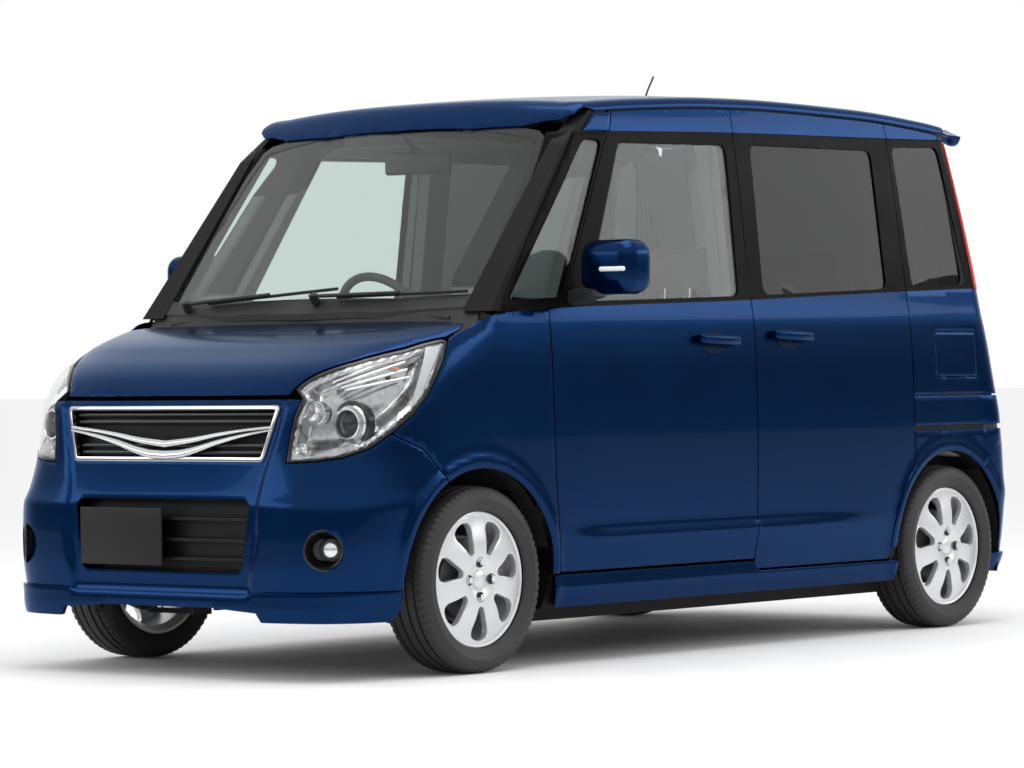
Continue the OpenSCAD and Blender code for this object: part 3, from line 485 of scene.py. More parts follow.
def densify(points, step):
    made = []
    for a, b in zip(points, points[1:] + points[:1]):
        n = max(1, math.ceil(math.hypot(b[0] - a[0], b[1] - a[1]) / step))
        made += [(a[0] + (b[0] - a[0]) * k / n, a[1] + (b[1] - a[1]) * k / n) for k in range(n)]
    clean = [made[0]]
    for p in made[1:]:
        if math.hypot(p[0] - clean[-1][0], p[1] - clean[-1][1]) > 0.0006:
            clean.append(p)
    return clean


def insideLoop(points, loop):
    x, y = points[:, 0], points[:, 1]
    hit = np.zeros(len(points), bool)
    for (ax, ay), (bx, by) in zip(loop, loop[1:] + loop[:1]):
        if ay != by:
            cross = ((ay > y) != (by > y)) & (x < (bx - ax) * (y - ay) / (by - ay) + ax)
            hit ^= cross
    return hit


def farFrom(points, loop, distance):
    keep = np.ones(len(points), bool)
    for a, b in zip(loop, loop[1:] + loop[:1]):
        a, d = np.array(a), np.array(b) - np.array(a)
        t = np.clip(((points - a) @ d) / max(1e-12, d @ d), 0, 1)
        keep &= np.hypot(*(points - a - t[:, None] * d).T) > distance
    return keep


def useOnly(obj):
    bpy.ops.object.select_all(action="DESELECT")
    obj.select_set(True)
    bpy.context.view_layer.objects.active = obj


def applyAll(obj):
    useOnly(obj)
    for modifier in list(obj.modifiers):
        bpy.ops.object.modifier_apply(modifier=modifier.name)


def newObject(name, points, faces, *materials):
    mesh = bpy.data.meshes.new(name)
    mesh.from_pydata([tuple(p) for p in points], [], faces)
    mesh.update()
    obj = bpy.data.objects.new(name, mesh)
    bpy.context.scene.collection.objects.link(obj)
    for material in materials:
        mesh.materials.append(material)
    return obj


def loft(name, rings, *materials, angle=40):
    size, last = len(rings[0]), len(rings) - 1
    faces = [
        (k * size + i, k * size + (i + 1) % size, (k + 1) * size + (i + 1) % size, (k + 1) * size + i)
        for k in range(last) for i in range(size)]
    faces += [tuple(range(size))[::-1], tuple(range(last * size, (last + 1) * size))]
    made = newObject(name, [p for ring in rings for p in ring], faces, *materials)
    useOnly(made)
    bpy.ops.object.mode_set(mode="EDIT")
    bpy.ops.mesh.select_all(action="SELECT")
    bpy.ops.mesh.normals_make_consistent(inside=False)
    bpy.ops.object.mode_set(mode="OBJECT")
    bpy.ops.object.shade_smooth_by_angle(angle=math.radians(angle))
    return made


def thicken(obj, thickness, bevel):
    solid = obj.modifiers.new("sheet", "SOLIDIFY")
    solid.thickness = thickness
    solid.offset = -1
    if bevel:
        edge = obj.modifiers.new("edge", "BEVEL")
        edge.width = bevel
        edge.segments = 2
        edge.limit_method = "ANGLE"
        edge.angle_limit = math.radians(50)
    applyAll(obj)
    bpy.ops.object.shade_smooth_by_angle(angle=math.radians(40))


def panel(name, outline, lift, materials, holes=(), net=0.018, thickness=0.004, bevel=0.0016, outward=(0, 0.1, 0.8)):
    loops = [densify(outline, net * 0.6)] + [densify(h, net * 0.5) for h in holes]
    low = np.min(loops[0], axis=0)
    high = np.max(loops[0], axis=0)
    grid = []
    row = 0
    v = low[1] + net / 2
    while v < high[1]:
        u = low[0] + (net / 2 if row % 2 else net)
        while u < high[0]:
            grid.append((u, v))
            u += net
        v += net * 0.87
        row += 1
    grid = np.array(grid).reshape(-1, 2)
    if len(grid):
        keep = insideLoop(grid, loops[0]) & farFrom(grid, loops[0], net * 0.45)
        for hole in loops[1:]:
            keep &= ~insideLoop(grid, hole) & farFrom(grid, hole, net * 0.45)
        grid = grid[keep]
    flat, edges = [], []
    for loop in loops:
        first = len(flat)
        flat += loop
        edges += [(first + k, first + (k + 1) % len(loop)) for k in range(len(loop))]
    flat += [tuple(g) for g in grid]
    points, _, faces, *_ = delaunay_2d_cdt([Vector(p) for p in flat], edges, [], 0, 1e-7)
    centres = np.array([np.mean([points[i] for i in f], axis=0) for f in faces])
    keep = insideLoop(centres, loops[0])
    for hole in loops[1:]:
        keep &= ~insideLoop(centres, hole)
    faces = [list(f) for f, k in zip(faces, keep) if k]
    solid = [Vector(lift(*p)) for p in points]
    middle = Vector(outward)
    turn = 0
    for f in faces[:: max(1, len(faces) // 40)]:
        a, b, c = (solid[i] for i in f[:3])
        turn += (b - a).cross(c - a).normalized().dot(((a + b + c) / 3 - middle).normalized())
    if turn < 0:
        faces = [f[::-1] for f in faces]
    obj = newObject(name, solid, faces, *materials)
    thicken(obj, thickness, bevel)
    return obj


def copyOf(obj, name):
    twin = obj.copy()
    twin.data = obj.data.copy()
    twin.name = twin.data.name = name
    bpy.context.scene.collection.objects.link(twin)
    return twin


def mirrored(obj, name):
    twin = copyOf(obj, name)
    twin.data.transform(Matrix.Scale(-1, 4, (1, 0, 0)))
    twin.data.flip_normals()
    return twin


def fasten(obj, carrier, slot, *replaced):
    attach(obj, carrier)
    if replaced:
        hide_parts(*replaced)
    return obj


def bothSides(obj, carrier, slot, replaced=None):
    base = obj.name
    twin = mirrored(obj, base + "Right")
    obj.name = obj.data.name = base + "Left"
    for piece, side in ((obj, "left"), (twin, "right")):
        swap = [replaced.format(side)] if replaced else []
        fasten(piece, carrier.format(side), slot, *swap)


def liftBy(out, tail=bodyTail):  # onto the body surface along its run, this far out of it
    return lambda s, z: around(s, z, out, tail)


def sideLiftBy(out):  # the same for points given by their y
    return lambda y, z: around(noseEnd + y - noseAxis, z, out)


skinLift = liftBy(body["skin"])
sideLift = sideLiftBy(body["skin"])


def sideRun(rows, tail=bodyTail):
    return [(atY(y, z, tail), z) for y, z in rows]


def tailRun(rows, tail=bodyTail):
    return [(atRearX(x, z, tail), z) for x, z in rows]


def frontRun(rows):
    return [(atX(x, z), z) for x, z in rows]


def viewRun(rows):
    return [(atView(u, z), z) for u, z in rows]


def wholeLoop(half):  # the half and its mirror image, with shared ends
    return half + [(-x, y) for x, y in half[-2:0:-1]]


def circle(middle, z, radius, count=32):
    return [(middle + radius * math.cos(a), z + radius * math.sin(a)) for a in np.linspace(0, 2 * math.pi, count + 1)[:-1]]


def archRow(wheelY, start, end, count, radius=body["archRadius"]):
    return [(wheelY + radius * math.cos(a), axleZ + radius * math.sin(a)) for a in np.linspace(start, end, count)]


def archAngleAt(z, side):
    run = math.asin(max(-1, min(1, (z - axleZ) / body["archRadius"])))
    return run if side > 0 else math.pi - run


doorFrontEdge = smoothTable([(0.26, -0.768), (0.45, -0.786), (0.62, -0.798), (0.8, -0.8), (1.06, -0.8)])
doorRearEdge = smoothTable([(0.26, 0.187), (1.06, 0.1945), (1.7, 0.1945)])
slideRearEdge = smoothTable([(0.5, 1.0625), (1.1, 1.0625), (1.7, 1.041)])
gap = body["gap"]

# lamp outline seen in the photograph's view: distance right of the middle, height
lampOutline = {
    "lower": [(-0.698, 0.611), (-0.615, 0.615), (-0.538, 0.625), (-0.465, 0.649), (-0.405, 0.69)],
    "rear": [(-0.405, 0.69), (-0.343, 0.744), (-0.302, 0.798), (-0.272, 0.865), (-0.249, 0.949)],
    "inner": [(-0.652, 0.79), (-0.672, 0.745), (-0.686, 0.69), (-0.698, 0.611)],
}
bonnetEdge = [(0.452, axleFront - 0.482), (0.56, axleFront - 0.352), (0.64, axleFront - 0.232),
              (0.688, axleFront - 0.108), (0.69, axleFront - 0.05), (0.686, screenFront - 0.013)]
bonnetFrontZ = 0.796
lampRear, lampLower, lampInner = (viewRun(lampOutline[edge]) for edge in ("rear", "lower", "inner"))
edgeSpots = [
    (xa + (xb - xa) * k / 8, ya + (yb - ya) * k / 8)
    for (xa, ya), (xb, yb) in zip(bonnetEdge, bonnetEdge[1:]) for k in range(8)]
edgeCurve = sideRun([(y, bonnetZ(x, y)) for x, y in edgeSpots + bonnetEdge[-1:]])
lampTop = [p for p in edgeCurve if p[0] < lampRear[-1][0] - 0.012]
wingTop = [p for p in edgeCurve if p[0] > lampRear[-1][0] + 0.004]

wingSet = {
    "shoulder": 0.985,
    "soft": 0.02,
    "blend": 0.06,
    "corner": ((-1.01, 0.001), (-1.03, 0.003), (-1.05, 0.007), (-1.07, 0.013), (-1.09, 0.021)),  # y, drop below the belt
}
wingFoot = [(-1.36, 0.645), (-1.31, 0.6)]
wingOutline = (
    sideRun(archRow(axleFront, archAngleAt(0.548, -1), archAngleAt(0.268, 1), 40))
    + sideRun([(doorFrontEdge(z), z) for z in np.linspace(0.268, beltLine(-0.8), 24)])
    + sideRun([(y, beltLine(y)) for y in np.linspace(-0.82, -0.985, 9)])
    + [(atY(y, 1.005), beltLine(-1.0) - drop) for y, drop in wingSet["corner"]]
    + wingTop[::-1]
    + lampRear[::-1]
    + sideRun(wingFoot)
)


def wingLift(s, z):  # above the shoulder it rises straight to the pillar's foot
    high, soft = wingSet["shoulder"], wingSet["soft"]
    held = min(z, high) + soft * math.tanh(max(0, z - high) / soft)
    spot = skinLift(s, held + (z - held) * blendStep(s, noseEnd - wingSet["blend"], noseEnd))
    return Vector((spot[0], spot[1], z))


bothSides(panel("wing", inset(wingOutline, gap), wingLift, [paint]), "car_body", "paint", "wing_{}")

doorOutline = (
    [(doorFrontEdge(z), z) for z in np.linspace(beltLine(-0.8), 0.30, 24)]
    + roundCorners([(doorFrontEdge(0.3), 0.3), (doorFrontEdge(0.272), 0.272), (-0.72, 0.272)], 0.02)[5:10]
    + [(doorRearEdge(0.272), 0.272)]
    + [(doorRearEdge(z), z) for z in np.linspace(0.32, beltLine(0.19), 16)]
    + [(y, beltLine(y)) for y in np.linspace(0.15, -0.77, 24)]
)
bothSides(panel("doorSkin", inset(doorOutline, gap), sideLift, [paint]), "front_door_{}", "paint")

slideArch = archRow(axleRear, math.pi - 0.02, math.acos(-0.22 / 0.352), 20, 0.352)
slideOutline = (
    roundCorners([(0.187, 0.30), (0.19, 0.24), (0.3, 0.24)], 0.05)[5:10]
    + roundCorners([(0.8, 0.24), (0.925, 0.24), slideArch[0]], 0.05)[5:10]
    + slideArch
    + [(slideRearEdge(z), z) for z in np.linspace(0.56, beltLine(1.06), 16)]
    + [(y, beltLine(y)) for y in np.linspace(1.03, 0.23, 24)]
    + [(doorRearEdge(z), z) for z in np.linspace(beltLine(0.19), 0.32, 16)]
)
bothSides(panel("slidingDoorSkin", inset(slideOutline, gap), sideLift, [paint]), "car_body", "paint")
print("wings and doors done")

# window band: black frames between the belt and the drip line
windows = {
    "front": [(-0.628, 1.066), (-0.398, 1.548), (0.148, 1.560), (0.138, 1.088)],
    "slide": [(0.266, 1.092), (0.276, 1.563), (0.942, 1.570), (0.950, 1.118)],
    "rear": [(1.104, 1.124), (1.07, 1.586), (1.352, 1.596), (1.44, 1.136)],
    "corner": [(-0.967, 1.064), (-0.563, 1.549), (-0.47, 1.551), (-0.727, 1.078)],
}
pillarLine = smoothTable([(1.03, -0.725), (1.06, -0.7145), (1.6, -0.4295)])
screenLine = smoothTable([(1.03, -1.02), (1.06, -1.0), (1.57, -0.6)])


def band(name, front, rear, hole, carrier):
    outline = (
        [(y, beltLine(y)) for y in np.linspace(front(1.06), rear(1.06), 14)]
        + [(rear(z), z) for z in np.linspace(beltLine(rear(1.08)) + 0.03, dripLine(rear(1.6)) - 0.03, 14)]
        + [(y, dripLine(y)) for y in np.linspace(rear(1.6), front(1.6), 14)]
        + [(front(z), z) for z in np.linspace(dripLine(front(1.6)) - 0.03, beltLine(front(1.08)) + 0.03, 14)]
    )
    made = panel(name, inset(outline, gap * 0.8), sideLiftBy(0.001), [pillarBlack], [roundCorners(hole, 0.03)])
    bothSides(made, carrier, "black_trim")


tailLampEdge = smoothTable([(1.118, 1.493), (1.618, 1.417)])
band("doorFrame", pillarLine, doorRearEdge, windows["front"], "front_door_{}")
band("slidingDoorFrame", doorRearEdge, slideRearEdge, windows["slide"], "car_body")
band("quarterFrame", slideRearEdge, tailLampEdge, windows["rear"], "car_body")
band("cornerFrame", screenLine, pillarLine, windows["corner"], "car_body")


def pane(name, loop, finish, slot, carrier, replaced=None):
    outline = inset(roundCorners(loop, 0.03), -0.006)
    made = panel(name, outline, sideLiftBy(-0.004), [finish], thickness=0.0045, bevel=0, net=0.04)
    bothSides(made, carrier, slot, replaced)


pane("doorGlass", windows["front"], doorGlass, "clear_glass", "front_door_{}", "door_glass_{}")
pane("slidingDoorGlass", windows["slide"], darkGlass, "dark_glass", "car_body", "side_glass")
pane("quarterGlass", windows["rear"], darkGlass, "dark_glass", "car_body")
pane("cornerGlass", windows["corner"], doorGlass, "clear_glass", "car_body")


# painted rail between the drip line and the roof seam
def seamLine(y):
    return roofTop - roofDrop(y) - 0.06


def rail(name, front, rear, carrier):
    outline = [(y, dripLine(y)) for y in np.linspace(front(1.6), rear(1.6), 14)]
    outline += [(y, seamLine(y)) for y in np.linspace(rear(1.67), front(1.67), 14)]
    bothSides(panel(name, inset(outline, gap), sideLift, [paint], net=0.012), carrier, "paint")


railFront = smoothTable([(1.57, -0.6), (1.6, -0.565), (1.66, -0.5)])
railDoor = smoothTable([(1.6, -0.4295), (1.755, -0.3795)])
railRear = smoothTable([(1.6, 1.42), (1.7, 1.4)])
rail("pillarRail", railFront, railDoor, "car_body")
rail("doorRail", railDoor, doorRearEdge, "front_door_{}")
rail("slidingDoorRail", doorRearEdge, slideRearEdge, "car_body")
rail("quarterRail", slideRearEdge, railRear, "car_body")
print("window bands and rails done")

# rear quarter: panel with the fuel lid, rail cover, arch
lidLow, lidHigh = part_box("fuel_lid")
lidFront = lidLow.y - 0.0135  # room for the hinged edge to swing in
lidRun = sideRun(roundCorners(
    [(lidFront, lidLow.z), (lidHigh.y, lidLow.z), (lidHigh.y, lidHigh.z), (lidFront, lidHigh.z)], 0.012))
quarterOutline = (
    sideRun([(slideRearEdge(z), z) for z in np.linspace(beltLine(1.06), 0.77, 12)])
    + tailRun([(0.605, z) for z in (0.77, *np.linspace(0.8, 1.112, 14))])
    + sideRun([(y, beltLine(y)) for y in (1.49, 1.4, 1.3, 1.2, 1.1)])
)
quarterLoop = inset(quarterOutline, gap)
quarterPlain = panel("quarterRight", quarterLoop, skinLift, [paint])
fasten(mirrored(quarterPlain, "quarterPanelRight"), "car_body", "paint")
bpy.data.objects.remove(quarterPlain)
fasten(panel("quarterPanelLeft", quarterLoop, skinLift, [paint], [lidRun]), "car_body", "paint")
fasten(panel("fuelLidSkin", inset(lidRun, 0.0035), skinLift, [paint], thickness=0.005), "fuel_lid", "paint", "fuel_lid")
railCover = sideRun([(1.0625, z) for z in (0.7685, 0.72, 0.669)]) + tailRun([(0.605, z) for z in (0.669, 0.72, 0.7685)])
bothSides(panel("railCover", inset(railCover, gap), skinLift, [paint]), "car_body", "paint")
railSlot = sideRun([(1.0625, z) for z in (0.675, 0.652)]) + tailRun([(0.61, z) for z in (0.652, 0.675)])
bothSides(panel("slideRailSlot", railSlot, liftBy(-0.008), [satinBlack]), "car_body", "black_trim")
archOutline = (
    sideRun(archRow(axleRear, math.pi - 0.03, 0.9, 44) + [(1.535, 0.59)])
    + tailRun([(0.62, 0.656)])
    + sideRun([(1.0625, 0.656)] + slideArch[::-1])
)
bothSides(panel("archPanel", inset(archOutline, gap), skinLift, [paint]), "car_body", "paint")


# rear bumper from arch to arch, measured from the middle of the tail
def tailMiddle(z):
    return atRearX(0.0, z, bumperTail)


def tailLoop(run):
    half = [(tailMiddle(z) - s, z) for s, z in run]
    return half + [(-q, z) for q, z in half[::-1]]


def tailLiftBy(out):
    return lambda q, z: around(tailMiddle(z) - abs(q), z, out, bumperTail) * Vector((1 if q > 0 else -1, 1, 1))


bumperRun = tailRun([(x, 0.172) for x in (0.1, 0.3, 0.5, 0.64)], bumperTail)
bumperRun += sideRun([(1.49, 0.172)] + archRow(axleRear, -0.26, 0.9, 24) + [(1.535, 0.59)], bumperTail)
bumperRun += tailRun([(0.68, 0.64), (0.64, 0.683), (0.5, 0.683), (0.3, 0.683), (0.1, 0.683)], bumperTail)
rearBumper = panel("rearBumperSkin", inset(tailLoop(bumperRun), gap * 0.4), tailLiftBy(body["skin"]), [paint], net=0.014)
fasten(rearBumper, "car_body", "paint", "rear_bumper")

# tail lamps
lampStrip = sideRun([(tailLampEdge(z), z) for z in np.linspace(1.12, 1.616, 16)])
lampStrip += tailRun([(0.607, z) for z in np.linspace(1.616, 1.12, 16)])
tailLamp = panel("tailLamp", inset(lampStrip, gap), liftBy(0.006), [redLens], thickness=0.02, bevel=0.004)
bothSides(tailLamp, "car_body", "red_lens", "tail_lamps")

# tailgate
rearGlassLoop = [(-0.53, 1.15), (0.53, 1.15), (0.505, 1.575), (-0.505, 1.575)]
gateOutline = [(0.599, z) for z in np.linspace(0.69, 1.6, 30)] + [(x, 1.655) for x in np.linspace(0.585, -0.585, 20)]
gateOutline += [(-0.599, z) for z in np.linspace(1.6, 0.69, 30)]
gate = panel(
    "tailgateSkin", inset(gateOutline, gap), lambda x, z: (x, rearFaceY(x, z) + 0.003, z), [paint],
    [roundCorners(rearGlassLoop, 0.05)], thickness=0.03)
fasten(gate, "tailgate", "paint", "tailgate")
rearPane = panel(
    "rearGlass", inset(roundCorners(rearGlassLoop, 0.05), -0.006), lambda x, z: (x, rearFaceY(x, z) - 0.002, z),
    [darkGlass], thickness=0.0045, bevel=0, net=0.04)
fasten(rearPane, "tailgate", "dark_glass", "rear_glass")
print("tail done")

# bonnet and roof
bonnetRear = screenFront - 0.0285  # the hinge line
bonnetPlan = [(x, noseAxis - noseAhead(x, bonnetFrontZ)) for x in np.linspace(0, 0.44, 12)]
bonnetPlan += [(x, y) for x, y in bonnetEdge[:-1] if y < bonnetRear - 0.01] + [(0.676, bonnetRear)]
bonnetPlan += [(x, bonnetRear) for x in np.linspace(0.66, 0, 24)]
bonnetLoop = wholeLoop(bonnetPlan)
bonnetSkin = panel(
    "bonnetSkin", inset(bonnetLoop, gap), lambda x, y: (x, y, bonnetZ(x, y) + 0.003), [paint], thickness=0.006, net=0.016,
    outward=(0, -1.2, 0.3))
fasten(bonnetSkin, "bonnet", "paint", "bonnet")

hingeY = 1.41  # the tailgate's hinge, behind which the roof line falls
roofSet = {"flat": 0.56, "turn": 0.1, "power": 3.5, "blend": 0.03}
roofHalf = [(0, -0.652), (0.3, -0.645), (0.48, -0.625), (0.56, -0.603), (0.61, -0.575), (0.64, -0.54)]
roofHalf += [(0.66, y) for y in np.linspace(-0.49, 1.36, 60)] + [(0.655, 1.4), (0.62, 1.404), (0.59, 1.408)]
roofHalf += [(0.57, 1.415), (0.56, 1.425), (0.55, 1.436), (0.53, 1.441), (0.3, 1.442), (0, 1.442)]
roofLoop = wholeLoop(roofHalf)


def tailDrop(y):  # the roof line behind the hinge
    past = max(0, (y - hingeY) / 0.17)
    return 0.016 * past - 0.01 * past * past


def roofLift(x, y):  # past the flat part x is the way round the edge
    wide, z = abs(x), roofZ(min(abs(x), roofSet["flat"]), min(y, hingeY)) + 0.003 - tailDrop(y)
    if wide > roofSet["flat"]:
        low = seamLine(min(y, hingeY)) + 0.004
        angle = min(1, (wide - roofSet["flat"]) / roofSet["turn"]) * math.pi / 2
        edge = sideX(min(y, hingeY), low) + 0.004
        wide = roofSet["flat"] + (edge - roofSet["flat"]) * math.sin(angle) ** (2 / roofSet["power"])
        z = low + (z - low) * max(0, math.cos(angle)) ** (2 / roofSet["power"])
    ramp = body["screenBase"] + (y - screenFront - body["screenBow"] * (wide / 0.63) ** 2) * body["screenSlope"] + 0.006
    mix = min(1, max(0, 0.5 + 0.5 * (ramp - z) / roofSet["blend"]))
    return math.copysign(wide, x), y, ramp + (z - ramp) * mix - roofSet["blend"] * mix * (1 - mix)


roofSkin = panel("roofSkin", roofLoop, roofLift, [paint], thickness=0.006, net=0.02, outward=(0, 0.3, 0))
fasten(roofSkin, "car_body", "paint", "roof_panel")

# windscreen
screenLoop = [(x, 1.05 + 0.016 * (1 - (x / 0.626) ** 2)) for x in np.linspace(-0.626, 0.626, 15)]
screenSide = smoothTable([(1.05, 0.626), (1.2, 0.615), (1.45, 0.59), (1.57, 0.562)])
screenLoop += [(screenSide(z), z) for z in np.linspace(1.1, 1.555, 8)]
screenLoop += [(x, 1.624 - 0.056 * (x / 0.56) ** 2) for x in np.linspace(0.54, -0.54, 11)]
screenLoop += [(-screenSide(z), z) for z in np.linspace(1.555, 1.1, 8)]
screenPane = panel(
    "windscreenPane", screenLoop, lambda x, z: (x, screenY(x, z) + 0.004, z), [clearGlass], thickness=0.005, bevel=0,
    net=0.04, outward=(0, 0.5, 1.2))
fasten(screenPane, "car_body", "clear_glass", "windscreen")
print("bonnet, roof and screen done")

# front bumper with its openings
frontHalf = frontRun([(x, bonnetFrontZ - 0.004) for x in np.linspace(0, 0.436, 8)]) + lampInner + lampLower[1:]
frontHalf += sideRun(wingFoot + archRow(axleFront, archAngleAt(0.548, -1), archAngleAt(0.235, -1), 20))
frontHalf += frontRun([(x, 0.2) for x in (0.66, 0.5, 0.25, 0)])
fogSet = {"across": -0.591, "z": 0.37, "hole": 0.052}
upperHole = roundCorners(frontRun([(-0.416, 0.77), (-0.371, 0.618), (0.371, 0.618), (0.416, 0.77)]), 0.012)
lowerHole = roundCorners(frontRun([(-0.344, 0.508), (-0.316, 0.302), (0.316, 0.302), (0.344, 0.508)]), 0.03)
fogHole = circle(atView(fogSet["across"], fogSet["z"]), fogSet["z"], fogSet["hole"])
frontHoles = [upperHole, lowerHole, fogHole, [(-s, z) for s, z in fogHole]]
frontSkin = panel("frontBumperSkin", inset(wholeLoop(frontHalf), gap), skinLift, [paint], frontHoles, net=0.012)
fasten(frontSkin, "car_body", "paint", "front_bumper")
print("front done")


# front lip and side skirts
def lipLift(s, z):
    return around(s, z, 0.012 + 0.012 * blendStep(z, 0.25, 0.17))


def skirtLift(y, z):
    return around(noseEnd + y - noseAxis, z, 0.006 + 0.012 * blendStep(z, 0.262, 0.215))


lipHalf = frontRun([(0, 0.246), (0.2, 0.246), (0.36, 0.246), (0.4, 0.25), (0.5, 0.25), (0.6, 0.25)])
lipHalf += sideRun([(-1.448, 0.25), (-1.44, 0.2), (-1.46, 0.166)])
lipHalf += frontRun([(0.6, 0.166), (0.5, 0.166), (0.385, 0.166), (0.37, 0.192), (0.2, 0.204)]) + [(0, 0.206)]
frontLip = panel("frontLip", wholeLoop(lipHalf), lipLift, [paint], thickness=0.012, bevel=0.003, net=0.014)
fasten(frontLip, "car_body", "paint")

skirtLoop = [(-0.795, 0.2), (-0.785, 0.17), (0.955, 0.17), (0.968, 0.236), (0.205, 0.236), (0.187, 0.266), (-0.796, 0.266)]
skirtLoop = inset(roundCorners(skirtLoop, 0.012), 0.001)
bothSides(panel("sideSkirt", skirtLoop, skirtLift, [paint], thickness=0.01, net=0.014), "car_body", "paint")
rearLipRun = tailRun([(x, 0.175) for x in (0.1, 0.3, 0.5, 0.6)], bumperTail)
rearLipRun += sideRun([(1.50, 0.175), (1.505, 0.235)], bumperTail)
rearLipRun += tailRun([(x, 0.235) for x in (0.6, 0.5, 0.3, 0.1)], bumperTail)
rearLip = panel("rearLip", tailLoop(rearLipRun), tailLiftBy(0.013), [paint], thickness=0.01, bevel=0.003)
fasten(rearLip, "car_body", "paint")


# shapes turned, bent or cut from plain bodies
def place(obj, matrix):
    obj.data.transform(matrix)
    return obj


def axisMatrix(point, axis):  # turns +Z onto the axis and moves to the point
    return Matrix.Translation(point) @ Vector(axis).to_track_quat("Z", "Y").to_matrix().to_4x4()


def turned(name, profile, material, steps=48, smooth=30):  # profile of (radius, height) spun about Z
    obj = newObject(name, [(r, 0, h) for r, h in profile], [], material)
    obj.data.edges.add(len(profile) - 1)
    for k, edge in enumerate(obj.data.edges):
        edge.vertices = (k, k + 1)
    spin = obj.modifiers.new("spin", "SCREW")
    spin.steps = spin.render_steps = steps
    spin.use_merge_vertices = True
    spin.use_normal_calculate = True
    applyAll(obj)
    bpy.ops.object.shade_smooth_by_angle(angle=math.radians(smooth))
    return obj


def block(name, size, centre, material, bevel=0.003, turn=None, segments=3, smooth=40):
    bpy.ops.mesh.primitive_cube_add(size=1)
    obj = bpy.context.object
    obj.name = obj.data.name = name
    obj.scale = size
    bpy.ops.object.transform_apply(location=False, rotation=False, scale=True)
    if bevel:
        edge = obj.modifiers.new("edge", "BEVEL")
        edge.width = bevel
        edge.segments = segments
        applyAll(obj)
    if turn:
        obj.data.transform(turn.to_4x4())
    obj.data.transform(Matrix.Translation(centre))
    obj.data.materials.append(material)
    useOnly(obj)
    bpy.ops.object.shade_smooth_by_angle(angle=math.radians(smooth))
    return obj


def pipe(name, points, radius, material):
    curve = bpy.data.curves.new(name, "CURVE")
    curve.dimensions = "3D"
    curve.bevel_depth = radius
    curve.bevel_resolution = 3
    curve.use_fill_caps = True
    line = curve.splines.new("NURBS" if len(points) > 3 else "POLY")
    line.points.add(len(points) - 1)
    for spot, p in zip(line.points, points):
        spot.co = (*p, 1)
    if len(points) > 3:
        line.order_u = 4
        line.use_endpoint_u = True
    obj = bpy.data.objects.new(name, curve)
    bpy.context.scene.collection.objects.link(obj)
    useOnly(obj)
    bpy.ops.object.convert(target="MESH")
    obj = bpy.context.object
    obj.data.materials.append(material)
    bpy.ops.object.shade_smooth()
    return obj


def joined(name, *pieces):
    useOnly(pieces[0])
    for piece in pieces[1:]:
        piece.select_set(True)
    bpy.ops.object.join()
    pieces[0].name = pieces[0].data.name = name
    return pieces[0]


# black liners round the wheels
linerSet = {"radius": 0.326, "inner": 0.43, "outer": 0.706}
for name, wheelY, low, high in (
    ("frontArchLiner", axleFront, 0.25, math.pi + 0.1), ("rearArchLiner", axleRear, -0.3, math.pi + 0.2)
):
    r, inner, outer = linerSet["radius"], linerSet["inner"], linerSet["outer"]
    arch = [(low * r, inner), (high * r, inner), (high * r, outer), (low * r, outer)]
    liner = panel(
        name, arch, lambda s, x: (x, wheelY + r * math.cos(s / r), axleZ + r * math.sin(s / r)), [satinBlack],
        thickness=0.003, bevel=0, net=0.03, outward=(0.55, wheelY, axleZ))
    bothSides(liner, "car_body", "black_trim")

# grilles
grilleSet = {"frame": 0.009, "bars": (0.748, 0.728, 0.66, 0.64), "lowerBars": (0.452, 0.392, 0.338)}
frontMesh = grained(
    "grilleBlack", (0.002, 0.002, 0.002), (0.006, 0.006, 0.0065), 260, (0.4, 0.5), 0.3, 0.001, Specular_IOR_Level=0.2)
grilleFrame = panel(
    "grilleFrame", inset(upperHole, -0.003), liftBy(0.007), [chrome], [inset(upperHole, grilleSet["frame"])],
    thickness=0.014, bevel=0.002, net=0.014)
fasten(grilleFrame, "car_body", "bright_trim", "upper_grille")
wingRows = {  # upper and lower edge of each bright wing, by x
    "Upper": (smoothTable([(0, 0.676), (0.1, 0.685), (0.2, 0.699), (0.3, 0.71), (0.41, 0.719)]),
              smoothTable([(0, 0.655), (0.1, 0.667), (0.2, 0.685), (0.3, 0.699), (0.41, 0.709)])),
    "Lower": (smoothTable([(0, 0.647), (0.05, 0.649), (0.1, 0.656), (0.2, 0.6785), (0.3, 0.696), (0.41, 0.71)]),
              smoothTable([(0, 0.621), (0.05, 0.624), (0.1, 0.633), (0.2, 0.661), (0.3, 0.684), (0.41, 0.702)])),
}
wingForm = (  # share of the height, distance ahead
    (0, -0.014), (0, 0), (0.12, 0.0035), (0.3, 0.005), (0.5, 0.0045), (0.7, 0.003), (0.9, 0), (1, -0.004), (1, -0.014))
for name, (high, low) in wingRows.items():
    rings = []
    for x in np.linspace(-0.398, 0.398, 61):
        top, foot = high(abs(x)), low(abs(x))
        out = 0.004 + 0.008 * blendStep(abs(x), 0.3, 0.05)
        s, tall = atX(x, (top + foot) / 2), top - foot
        rings.append([around(s, foot + tall * share, out + ahead) for share, ahead in wingForm])
    fasten(loft("grilleWing" + name, rings, chrome, angle=50), "car_body", "bright_trim")


def grilleBar(name, z, half, tall, out, finish, **sheet):
    strip = frontRun([(x, z - tall) for x in np.linspace(-half, half, 21)])
    strip += frontRun([(x, z + tall) for x in np.linspace(half, -half, 21)])
    fasten(panel(name, strip, liftBy(out), [finish], net=0.02, **sheet), "car_body", "black_trim")


